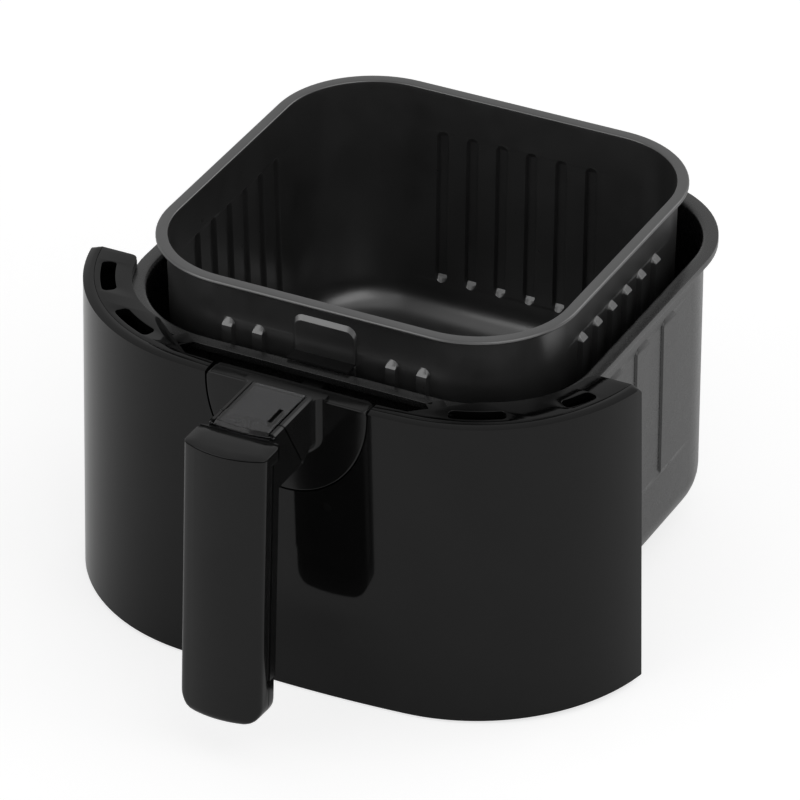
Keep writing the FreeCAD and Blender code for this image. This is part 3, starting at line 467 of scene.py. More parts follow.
def plate(outer, holes, low, high, edge, steps=4):
    """A plate with rounded upper edges. The outline runs counterclockwise and the holes clockwise."""
    levels = [(0.0, low), (0.0, high - edge)] + arc(edge, high - edge, edge, 180, 90, steps)[1:]
    form = bmesh.new()
    tops = []
    bottoms = []
    for points in [outer] + holes:
        rows = []
        for depth, level in levels:
            rows.append([form.verts.new((p.x, p.y, level)) for p in inset(points, depth)])
        for first, second in zip(rows, rows[1:]):
            for i in range(len(points)):
                j = (i + 1) % len(points)
                form.faces.new((first[i], first[j], second[j], second[i]))
        tops.append((inset(points, edge), rows[-1]))
        bottoms.append((points, rows[0]))
    for loops in (tops, bottoms):
        verts = [v for outline, row in loops for v in row]
        flat = [[Vector((p[0], p[1], 0.0)) for p in outline] for outline, row in loops]
        for triangle in tessellate_polygon(flat):
            form.faces.new([verts[i] for i in triangle])
    return tidy(form)


def block(low, high):
    form = bmesh.new()
    bmesh.ops.create_cube(form, size=1.0)
    low = Vector(low)
    high = Vector(high)
    for vert in form.verts:
        share = vert.co + Vector((0.5, 0.5, 0.5))
        vert.co = Vector(low[i] + (high[i] - low[i]) * share[i] for i in range(3))
    return form


# Walls of pan and basket, where a flank gives the side of a bump as growth in width and share of height
TURN_STEPS = 20
FLANK = ((0.15, 0.0), (0.0, 0.08), (-0.25, 0.5), (-0.5, 0.92), (-0.65, 1.0))
FLANK_ROOM = 0.9


def ring(sides, offset, z, stops):
    """Points round a rounded rectangle grown by offset. Stops give each wall's points and relief."""
    half, front, back, r = sides
    x = half - r
    low = r - front
    high = back - r
    middle = (low + high) / 2
    span = (high - low) / 2
    walls = (((0, low), (1, 0), x), ((x, middle), (0, 1), span), ((0, high), (-1, 0), x),
             ((-x, middle), (0, -1), span))
    points = []
    for i, (centre, direction, reach) in enumerate(walls):
        along = Vector(direction)
        out = Vector((along.y, -along.x))
        for share, height in stops(i, z):
            spot = Vector(centre) + along * (reach * share) + out * (r + offset + height)
            points.append((spot.x, spot.y, z))
        pivot = Vector(centre) + along * reach
        for k in range(1, TURN_STEPS):
            angle = math.pi / 2 * k / TURN_STEPS
            spot = pivot + (out * math.cos(angle) + along * math.sin(angle)) * (r + offset)
            points.append((spot.x, spot.y, z))
    return points


def relief(walls, shape):
    """Stops for walls of half length and bump middles. Shape gives a bump's half width and height."""

    def stops(i, z):
        reach, middles = walls[i]
        half, height = shape(z)
        squeeze = min(1.0, half / FLANK_ROOM)
        row = [(-1.0, 0.0)]
        for middle in middles:
            left = [(middle - half - grow * squeeze, share * height) for grow, share in FLANK]
            right = [(middle + half + grow * squeeze, share * height) for grow, share in reversed(FLANK)]
            row += [(u / reach, h) for u, h in left + [(middle, height)] + right]
        return row + [(1.0, 0.0)]

    return stops


def inside_rim(low, high, s):
    """Half width, front and back of the walls below a rim that stands out all round."""
    return high.x - s.rim_reach, -low.y - s.rim_reach, high.y - s.rim_reach


def rolled_rim(s, top, neck, rounds, steps):
    """Profile of a rim as growth and height, from its neck below over the edge and the top to its mouth."""
    neck_round, edge_round, mouth_round = rounds
    edge_u = s.rim_reach - edge_round
    low = top - s.rim_depth
    rim = arc(neck_round + neck, low - neck_round, neck_round, 180, 90, 3)
    rim += arc(edge_u, low + edge_round, edge_round, -90, 0, steps - 1)
    rim += arc(edge_u, top - edge_round, edge_round, 0, 90, 5)
    return rim + arc(mouth_round - s.sheet, top - mouth_round, mouth_round, 90, 180, steps)


def even(count, pitch):
    return [(i - (count - 1) / 2) * pitch for i in range(count)]


def between(low, high, steps):
    return [low + (high - low) * i / steps for i in range(steps + 1)]


class DRAWER_OT_pan(Operator):
    """Deep drawn pan with a rolled rim, pressed pads and a well in its floor"""
    bl_idname = "drawer.pan"
    bl_label = "Pan"

    pad_count = 3
    pad_low = 55.0
    pad_drop = 17.0
    pad_corner = 4.0
    pad_slope = 3.0
    pad_margin = 0.5
    pad_spare = 0.6
    pad_rows = 8
    mouth_round = 2.6
    edge_round = 0.2
    neck_round = 1.2
    well_round = 2.5

    def execute(self, context):
        s = sizes("pan")
        half, front, back = inside_rim(PAN_LOW, PAN_HIGH, s)
        top = PAN_HIGH.z
        floor = s.floor_rise
        middle = (back - front) / 2
        sides = (half, front, back, s.corner)
        well = (s.well_half, s.well_half - middle, s.well_half + middle, s.well_corner)
        pad_high = top - self.pad_drop
        span = (front + back) / 2 - s.corner
        pads = even(self.pad_count, s.pad_pitch)
        walls = [(half - s.corner, []), (span, pads), (half - s.corner, []), (span, pads)]

        def shape(z):
            depth = min(z - self.pad_low, pad_high - z)
            if depth <= 0:
                return s.pad_width / 2 - self.pad_corner, 0.0
            bend = self.pad_corner - min(depth, self.pad_corner)
            grow = math.sqrt(self.pad_corner ** 2 - bend ** 2) - self.pad_corner
            return s.pad_width / 2 + grow, s.pad_proud * min(1.0, depth / self.pad_slope)

        stops = relief(walls, shape)
        rows = [top - s.rim_depth - self.neck_round, floor + s.floor_round]
        for step in [-self.pad_margin] + between(0.0, self.pad_corner + self.pad_spare, self.pad_rows):
            rows += [self.pad_low + step, pad_high - step]
        rows = sorted(rows)

        def well_rings(skin_in, level):
            """The floor's well, from its middle out to the pan's floor."""
            low = level - floor
            lean = s.well_slope / floor
            made = [(well, -self.well_round - skin_in, low)]
            made += [(well, u, v) for u, v in arc(-self.well_round - skin_in, low + self.well_round,
                                                  self.well_round, -90, -30, 4)[1:]]
            made += [(well, lean * (floor - self.well_round) - skin_in, level - self.well_round)]
            made += [(well, u, v) for u, v in arc(s.well_slope + self.well_round - skin_in,
                                                  level - self.well_round, self.well_round, 150, 90, 4)]
            return made

        def wall_rings(skin_in):
            r = s.floor_round - skin_in
            turn = arc(-s.floor_round, floor + s.floor_round, r, -90, 0, 10)
            return [(sides, u, v) for u, v in turn] + [(sides, -skin_in, z) for z in rows]

        rim = rolled_rim(s, top, 0.0, (self.neck_round, self.edge_round, self.mouth_round), 6)
        path = well_rings(0.0, floor) + wall_rings(0.0) + [(sides, u, v) for u, v in rim]
        path += list(reversed(well_rings(s.sheet, floor + s.sheet) + wall_rings(s.sheet)))
        form = skin([ring(shape_sides, u, z, stops) for shape_sides, u, z in path], caps=True)
        piece(form, "pan_body", "pan_coating", "drawer", "outer_pan", crisp=20.0)
        return {"FINISHED"}


HOLE_SIDES = 28


def perforation_tree():
    """Nodes that cut a square pattern of round holes."""
    tree = bpy.data.node_groups.new("floor_holes", "GeometryNodeTree")
    face = tree.interface
    face.new_socket("Geometry", in_out="INPUT", socket_type="NodeSocketGeometry")
    for name, kind in (("Holes in a row", "Int"), ("Pitch", "Float"), ("Radius", "Float"),
                       ("Depth", "Float"), ("Height", "Float"), ("Material", "Material")):
        face.new_socket(name, in_out="INPUT", socket_type="NodeSocket" + kind)
    face.new_socket("Geometry", in_out="OUTPUT", socket_type="NodeSocketGeometry")

    nodes = Nodes(tree)
    given = {socket.name: Value(nodes, socket) for socket in tree.nodes.new("NodeGroupInput").outputs}
    count = given["Holes in a row"]
    span = (count - 1.0) * given["Pitch"]
    grid = nodes.node("GeometryNodeMeshGrid", sockets={
        "Size X": span, "Size Y": span, "Vertices X": count, "Vertices Y": count})
    lift = nodes.node("ShaderNodeCombineXYZ", sockets={"Z": given["Height"]})
    raised = nodes.node("GeometryNodeSetPosition", sockets={"Geometry": grid, "Offset": lift})
    punch = nodes.node("GeometryNodeMeshCylinder", sockets={
        "Vertices": HOLE_SIDES, "Radius": given["Radius"], "Depth": given["Depth"]})
    punches = nodes.node("GeometryNodeInstanceOnPoints", sockets={"Points": raised, "Instance": punch})
    solid = nodes.node("GeometryNodeRealizeInstances", sockets={"Geometry": punches})
    cut = nodes.node("GeometryNodeMeshBoolean", {"operation": "DIFFERENCE", "solver": "EXACT"},
                     {"Mesh 1": given["Geometry"], "Mesh 2": solid})
    whole = nodes.node("GeometryNodeRealizeInstances", sockets={"Geometry": cut})
    painted = nodes.node("GeometryNodeSetMaterial", sockets={
        "Geometry": whole, "Material": given["Material"]})
    nodes.node("NodeGroupOutput", sockets={0: painted})
    return tree


def through_nodes(form, tree, values):
    """The form after a tree of geometry nodes, whose inputs are set by name."""
    obj = loose_object(form, "nodes")
    modifier = obj.modifiers.new("nodes", "NODES")
    modifier.node_group = tree
    for item in tree.interface.items_tree:
        if item.in_out == "INPUT" and item.name in values:
            modifier[item.identifier] = values[item.name]
    return form_of(evaluated_mesh(obj))


class DRAWER_OT_basket(Operator):
    """Lift-out basket with pressed ribs, a flat rim and a perforated floor"""
    bl_idname = "drawer.basket"
    bl_label = "Basket"

    rib_rise = 19.4
    rib_drop = 21.8
    front_ribs = (-51.6, -35.3, 35.3, 51.6)
    rib_count = 6
    edge_round = 1.1
    neck_round = 1.0
    mouth_round = 0.9
    tip = 0.08
    tip_rows = (-0.06, 0.0, 0.02, 0.07, 0.16, 0.3, 0.5, 0.72, 0.93, 1.0, 1.07, 1.2)
    punch_sheets = 4

    def execute(self, context):
        s = sizes("basket")
        half, front, back = inside_rim(BASKET_LOW, BASKET_HIGH, s)
        floor = BASKET_LOW.z
        top = BASKET_HIGH.z
        sides = (half, front, back, s.corner)
        rib_low = floor + self.rib_rise
        rib_high = top - self.rib_drop
        ribs = even(self.rib_count, s.rib_pitch)
        span = (front + back) / 2 - s.corner
        walls = [(half - s.corner, self.front_ribs), (span, ribs), (half - s.corner, ribs), (span, ribs)]

        def lean(z):
            return s.taper * (top - z) / (top - floor)

        def shape(z):
            depth = min(z - rib_low, rib_high - z)
            if depth <= 0:
                return s.rib_width / 2, 0.0
            share = min(1.0, depth / s.rib_point)
            arch = math.sqrt(1 - (1 - share) ** 2)
            return s.rib_width / 2 * max(arch, self.tip), s.rib_proud * share

        stops = relief(walls, shape)
        rows = [floor + s.floor_round, top - s.rim_depth - self.neck_round]
        for share in self.tip_rows:
            rows += [rib_low + share * s.rib_point, rib_high - share * s.rib_point]
        rows = sorted(rows)
        foot = -lean(floor + s.floor_round)

        def wall_rings(skin_in):
            turn = arc(foot - s.floor_round, floor + s.floor_round, s.floor_round - skin_in, -90, 0, 8)
            return turn + [(-lean(z) - skin_in, z) for z in rows]

        rim = rolled_rim(s, top, -lean(rows[-1]), (self.neck_round, self.edge_round, self.mouth_round), 5)
        path = wall_rings(0.0) + rim + list(reversed(wall_rings(s.sheet)))
        form = tidy(skin([ring(sides, u, z, stops) for u, z in path], caps=True))
        group = settings().basket
        form = through_nodes(form, perforation_tree(), {
            "Holes in a row": group.hole_count, "Pitch": s.hole_pitch, "Radius": s.hole_radius,
            "Depth": self.punch_sheets * s.sheet, "Height": floor + s.sheet / 2,
            "Material": finish_of("basket_coating")})
        piece(form, "basket_body", "basket_coating", "basket", "basket_shell", crisp=28.0)
        return {"FINISHED"}


class DRAWER_OT_basket_lugs(Operator):
    """Lugs that hang the basket on the pan's rim, and their rivets"""
    bl_idname = "drawer.basket_lugs"
    bl_label = "Basket lugs"

    soft_edge = 0.6
    corner = 5.0
    # Steps of the front lug: out from the wall, in from the sides and down from the top
    profile = ((-0.6, 0.0, 0.0), (0.1, 0.0, 0.0), (0.25, 0.12, 0.25), (1.15, 0.4, 2.3), (1.4, 0.8, 2.6),
               (1.4, 1.6, 3.4))
    foot_gap = 0.3
    foot_plate = 1.5
    catch_over = 0.6
    foot_low = PAN_HIGH.z + foot_gap
    foot_high = foot_low + foot_plate
    catch_high = foot_low + catch_over
    catch_edge = 0.4
    foot_half = 16.2
    foot_back = 1.5
    foot_edge = 0.1
    plate = 1.5

    def pad(self, half, low, high, r):
        """Outline seen from the front with rounded top corners."""
        points = [(-half, low), (half, low)] + arc(half - r, high - r, r, 0, 90, 8)
        return points + arc(r - half, high - r, r, 90, 180, 8)

    def wall(self):
        return BASKET_LOW.y + sizes("basket").rim_reach

    def front_lug(self):
        """Pad that follows the wall's taper, with the catch plate below it."""
        taper = sizes("basket").taper / (BASKET_HIGH.z - BASKET_LOW.z)
        half = LUG_HIGH.x
        rings = []
        for out, side, drop in self.profile:
            outline = self.pad(half - side, self.foot_low, LUG_HIGH.z - drop, self.corner - side)
            rings.append([(x, self.wall() - out + taper * (BASKET_HIGH.z - z), z) for x, z in outline])
        catch = block((-half, self.wall() - self.plate, LUG_LOW.z), (half, self.wall(), self.catch_high))
        return combine(skin(rings, caps=True), softened(catch, self.catch_edge), "UNION")

    def front_foot(self):
        low = (-self.foot_half, LUG_LOW.y + self.foot_back, self.foot_low)
        return softened(block(low, (self.foot_half, self.wall(), self.foot_high)), self.foot_edge)

    def execute(self, context):
        piece(self.front_lug(), "front_lug", "basket_coating", "basket", "basket_front_lug")
        piece(self.front_foot(), "front_lug_foot", "bracket_black", "basket")
        form = softened(copy_of("basket_rear_lug"), self.soft_edge)
        piece(form, "rear_lug", "basket_coating", "basket", "basket_rear_lug")
        dress("screw_steel", "basket_rivets")
        return {"FINISHED"}


# Fascia
END_STEPS = 30
FRONT_STEPS = 48


def flared(reach, flare, z):
    """A reach at the fascia's bottom, less its flare at a height."""
    return reach - flare * (z - FASCIA_LOW.z) / (FASCIA_HIGH.z - FASCIA_LOW.z)


def fascia_curve(grown_in, z):
    """Points along the front from its left end to its right end: corner, front and corner arcs."""
    s = sizes("fascia")
    back_y = FASCIA_HIGH.y
    centre = Vector((0, s.front_radius - flared(-FASCIA_LOW.y, s.front_flare, z)))
    end = Vector((flared(FASCIA_HIGH.x, s.flare, z), back_y))
    # The corner arc runs on from the front arc and passes through the end
    reach = s.front_radius - s.corner_radius
    span = (end - centre).length
    along = (reach ** 2 - s.corner_radius ** 2 + span ** 2) / (2 * span)
    across = math.sqrt(reach ** 2 - along ** 2)
    direction = (end - centre) / span
    pivot = centre + direction * along + Vector((direction.y, -direction.x)) * across
    r = s.corner_radius - grown_in
    join = math.degrees(math.atan2(pivot.y - centre.y, pivot.x - centre.x))
    tail = math.degrees(math.asin((back_y - pivot.y) / r))
    right = arc(pivot.x, pivot.y, r, join, tail, END_STEPS)
    middle = arc(centre.x, centre.y, s.front_radius - grown_in, -180 - join, join, FRONT_STEPS)
    left = [(-x, y) for x, y in reversed(right)]
    return left[:-1] + middle + right[1:]


def front_y(x, z):
    """How far back the front's face lies at a place near its middle."""
    s = sizes("fascia")
    front = flared(-FASCIA_LOW.y, s.front_flare, z)
    return s.front_radius - front - math.sqrt(s.front_radius ** 2 - x ** 2)


PLATE_RISE = 0.2
PLATE_CORNER = 3.0
PLATE_STEPS = 48
SEAM = 0.5
BAND_SEAM = 0.12


def plate_outline(grown, top):
    """D outline of the handle's plate, counterclockwise seen from the front."""
    s = sizes("handle")
    half = s.plate_half + grown
    arc_z = FASCIA_HIGH.z + PLATE_RISE - s.plate_side
    points = []
    for angle in between(math.pi, 2 * math.pi, PLATE_STEPS):
        points.append((half * math.cos(angle), arc_z + (s.plate_drop + grown) * math.sin(angle)))
    points += arc(half - PLATE_CORNER, top - PLATE_CORNER, PLATE_CORNER, 0, 90, 5)
    points += arc(PLATE_CORNER - half, top - PLATE_CORNER, PLATE_CORNER, 90, 180, 5)
    return points


class DRAWER_OT_fascia(Operator):
    """Curved glossy front with a notch for the handle's plate"""
    bl_idname = "drawer.fascia"
    bl_label = "Fascia"

    notch_room = 20.0
    wall_rows = 3
    edge_in = 0.15
    edge_rise = 0.12
    crest_drop = 0.04
    crest_run = 0.4
    band_round = 0.2
    end_round = 3.0
    end_steps = 6

    def fine_ends(self, points):
        """The points of a curve with more of them along the rounded corner at each end."""
        made = list(points)
        for end, inner in ((0, 1), (-1, -2)):
            tip = Vector(points[end])
            along = (Vector(points[inner]) - tip).normalized()
            extra = [tuple(tip + along * (self.end_round * (i / self.end_steps) ** 2))
                     for i in range(1, self.end_steps + 1)]
            if end == 0:
                made[1:1] = extra
            else:
                made[-1:-1] = reversed(extra)
        return made

    def end_drop(self, y, share):
        """How far the top sinks in the rounded corner at an end."""
        inside = min(self.end_round, max(0.0, self.end_round - (FASCIA_HIGH.y - y)))
        return share * (self.end_round - math.sqrt(self.end_round ** 2 - inside ** 2))

    def execute(self, context):
        s = sizes("fascia")
        low = FASCIA_LOW.z
        high = FASCIA_HIGH.z
        fall = s.top_fall
        levels = [(0.0, z) for z in between(low, high - fall, self.wall_rows)]
        levels += [(self.edge_in, high - fall + self.edge_rise), (s.top_run, high - self.crest_drop),
                   (s.top_run + self.crest_run, high)]
        levels += arc(s.top_band - self.band_round, high - self.band_round, self.band_round, 90, 0, 3)
        levels += [(s.top_band, DECK_UNDER), (s.wall, DECK_UNDER - s.wall)]
        levels += [(s.wall, low), (0.0, low)]
        rings = []
        for depth, z in levels:
            row = []
            for x, y in self.fine_ends(fascia_curve(depth, z)):
                rise = s.end_rise * (x / FASCIA_HIGH.x) ** 2 if z == low else 0.0
                if z >= high - fall:
                    rise = -self.end_drop(y, 1 - depth / s.top_band)
                row.append((x, y, z + rise))
            rings.append(row)
        form = skin(rings, wrap=False)
        for end in (0, -1):
            form.faces.new([form.verts.new(row[end]) for row in rings[:-1]])
        outline = plate_outline(SEAM, high + self.notch_room)
        ends = (FACE_Y - self.notch_room, FACE_Y + self.notch_room)
        notch = skin([[(x, y, z) for x, z in outline] for y in ends], caps=True)
        form = combine(form, notch, "DIFFERENCE")
        piece(form, "fascia_front", "fascia_black", "drawer", "fascia_shell")
        dress("liner_black", "fascia_liner", "fascia_base_cover")
        return {"FINISHED"}


class DRAWER_OT_decks(Operator):
    """Two decks between the front and the pan, with curved vents and a lower tongue"""
    bl_idname = "drawer.decks"
    bl_label = "Decks"

    lip = 8.8
    over_rim = 5.9
    end_round = 4.0
    edge = 0.3
    trench_half = 62.0
    slant_x = 84.4
    slant_run = 21.5
    vent_radius = 81.3
    vent_in = (92.4, 95.6)
    left_vents = ((28.6, 27.0), (60.8, 27.0))
    right_vents = ((29.0, 17.0), (64.5, 27.0))
    vent_wide = 7.2
    vent_corner = 2.6
    tongue_long = 9.0
    tongue_wide = 14.0
    tongue_plate = 1.8
    tongue_drop = 2.0
    tongue_in = 4.0
    tongue_front = 12.15
    tongue_edge = 0.4

    def outline(self):
        fascia = sizes("fascia")
        pan = sizes("pan")
        plate_x = sizes("handle").plate_half + SEAM
        top = FASCIA_HIGH.z
        outer = [p for p in fascia_curve(fascia.top_band + BAND_SEAM, top) if p[0] > plate_x]
        inner = [p for p in fascia_curve(self.lip, top) if plate_x < p[0] < self.trench_half]
        r = pan.corner + self.over_rim
        pivot_x = PAN_HIGH.x - pan.rim_reach - pan.corner
        pivot_y = pan.corner + PAN_LOW.y + pan.rim_reach
        back_y = FASCIA_HIGH.y
        start = math.degrees(math.asin((back_y - pivot_y - self.end_round) / r))
        end = -math.degrees(math.acos((self.slant_x - pivot_x) / r))
        rim = arc(pivot_x, pivot_y, r, start, end, 24)
        corner_x = pivot_x + math.sqrt(r ** 2 - (back_y - pivot_y) ** 2)
        bend = arc(corner_x + self.end_round, back_y - self.end_round, self.end_round, 90, 180, 5)
        lead_in = (plate_x, front_y(plate_x, top) + fascia.top_band + BAND_SEAM)
        lead_out = (plate_x, front_y(plate_x, top) + self.lip)
        return [lead_in] + outer + bend[:-1] + rim + list(reversed(inner)) + [lead_out]

    def vent(self, angle, long):
        """Curved slot with rounded corners, clockwise."""
        centre = (FASCIA_HIGH.x - sizes("fascia").flare - self.vent_in[0], self.vent_in[1] + FACE_Y)
        middle = -math.radians(angle)
        u = self.vent_wide / 2 - self.vent_corner
        v = long / 2 - self.vent_corner
        flat = arc(u, -v, self.vent_corner, -90, 0, 5)
        flat += [(u + self.vent_corner, w) for w in between(-v, v, 8)[1:-1]]
        flat += arc(u, v, self.vent_corner, 0, 90, 5) + arc(-u, v, self.vent_corner, 90, 180, 5)
        flat += [(-u - self.vent_corner, w) for w in between(v, -v, 8)[1:-1]]
        flat += arc(-u, -v, self.vent_corner, 180, 270, 5)
        points = []
        for across, along in reversed(flat):
            r = self.vent_radius + across
            theta = middle + along / self.vent_radius
            points.append((centre[0] + r * math.cos(theta), centre[1] + r * math.sin(theta)))
        return points

    def tongue(self):
        form = block((-self.tongue_long / 2, -self.tongue_wide / 2, 0),
                     (self.tongue_long / 2, self.tongue_wide / 2, self.tongue_plate))
        form = softened(form, self.tongue_edge, segments=2)
        slope = math.atan2(self.slant_run, self.slant_x - self.trench_half)
        middle_x = (self.trench_half + self.slant_x) / 2 - self.tongue_in
        middle_y = PAN_LOW.y + sizes("pan").rim_reach - self.tongue_front
        z = FASCIA_HIGH.z - self.tongue_drop - self.tongue_plate
        for vert in form.verts:
            x = vert.co.x * math.cos(slope) - vert.co.y * math.sin(slope)
            y = vert.co.x * math.sin(slope) + vert.co.y * math.cos(slope)
            vert.co = Vector((x + middle_x, y + middle_y, vert.co.z + z))
        return form

    def execute(self, context):
        for side, name, node, vents in ((1, "deck_right", "fascia_deck_right", self.right_vents),
                                        (-1, "deck_left", "fascia_deck_left", self.left_vents)):
            holes = [self.vent(angle, long) for angle, long in vents]
            form = plate(self.outline(), holes, DECK_UNDER, FASCIA_HIGH.z, self.edge)
            form = combine(form, self.tongue(), "UNION")
            for vert in form.verts:
                vert.co.x *= side
            piece(form, name, "deck_black", "drawer", node)
        return {"FINISHED"}


class DRAWER_OT_handle(Operator):
    """D-shaped plate and arm of the handle"""
    bl_idname = "drawer.handle"
    bl_label = "Handle base"

    plate_deep = 8.4
    plate_shares = (0.85, 0.65, 0.45, 0.25, 0.1)
    arm_shares = (-0.01, 0.25, 0.5, 0.75, 1.0)
    rail_drop = 0.4
    rail_bevel = 1.0
    rail_half = 14.5
    rail_plate = 0.9
    rail_wall = 1.3
    seam_low = 14.4
    seam_high = 32.0
    pocket_start = 4.4
    pocket_half = 14.2
    pocket_floor = 4.0
    root_edge = 8.0
    seam_edge = 1.6
    seam_gap = 0.9

    def plate(self):
        s = sizes("handle")
        outline = plate_outline(0.0, FASCIA_HIGH.z + PLATE_RISE)
        middle = Vector((0.0, FASCIA_HIGH.z - s.plate_drop / 3))
        r = s.plate_round
        back = FACE_Y + self.plate_deep
        rings = [[(x, back, z) for x, z in outline]]
        for u, v in arc(r, r, r, 180, 270, 7):
            rings.append([(p.x, front_y(p.x, p.y) + v, p.y) for p in inset(outline, u)])
        inner = inset(outline, r)
        for share in self.plate_shares:
            points = [middle + (p - middle) * share for p in inner]
            rings.append([(p.x, front_y(p.x, p.y), p.y) for p in points])
        return skin(rings, caps=True)

    def section(self, grown, edge, hollow):
        """Outline of the arm: rounded below, and hollow from above or flat on top."""
        s = sizes("handle")
        low = ARM_TOP - s.arm_high
        wide = s.arm_half + grown
        r = edge + grown
        points = arc(r - wide, low - grown + r, r, 180, 270, 8)
        points += arc(wide - r, low - grown + r, r, 270, 360, 8)
        if not hollow:
            return points + [(wide, ARM_TOP), (-wide, ARM_TOP)]
        rail_top = COVER_HIGH.z - self.rail_drop
        rail_low = rail_top - self.rail_plate
        inside = wide - self.rail_wall
        right = [(wide, rail_top - self.rail_bevel), (wide - self.rail_bevel, rail_top)]
        right += [(self.rail_half, rail_top), (self.rail_half, rail_low), (inside, rail_low)]
        right += [(inside, ARM_TOP), (self.pocket_half, ARM_TOP)]
        right += [(self.pocket_half, low + self.pocket_floor)]
        return points + right + [(-x, z) for x, z in reversed(right)]

    def execute(self, context):
        s = sizes("handle")
        low = ARM_TOP - s.arm_high

        def seam_y(z):
            share = (z - low) / s.arm_high
            return FACE_Y + self.seam_gap - self.seam_low - (self.seam_high - self.seam_low) * share

        wall_y = FACE_Y - self.pocket_start
        trough = []
        for share in self.arm_shares:
            edge = self.root_edge + (self.seam_edge - self.root_edge) * max(0.0, share)
            trough.append([(x, wall_y + (seam_y(z) - wall_y) * share, z)
                           for x, z in self.section(0.0, edge, True)])
        arm = skin(trough, caps=True)
        root = []
        flare = arc(s.root, s.root, s.root, 270, 180, 8)
        for u, v in [(s.root, -self.plate_deep / 2)] + flare + [(0.0, self.pocket_start)]:
            root.append([(x, FACE_Y - v, z) for x, z in self.section(u, self.root_edge, False)])
        arm = combine(arm, skin(root, caps=True), "UNION")
        form = combine(self.plate(), arm, "UNION")
        piece(form, "handle_plate_and_arm", "handle_black", "drawer", "handle_base")
        dress("bracket_black", "handle_backing_plate", "pan_front_bracket")
        return {"FINISHED"}


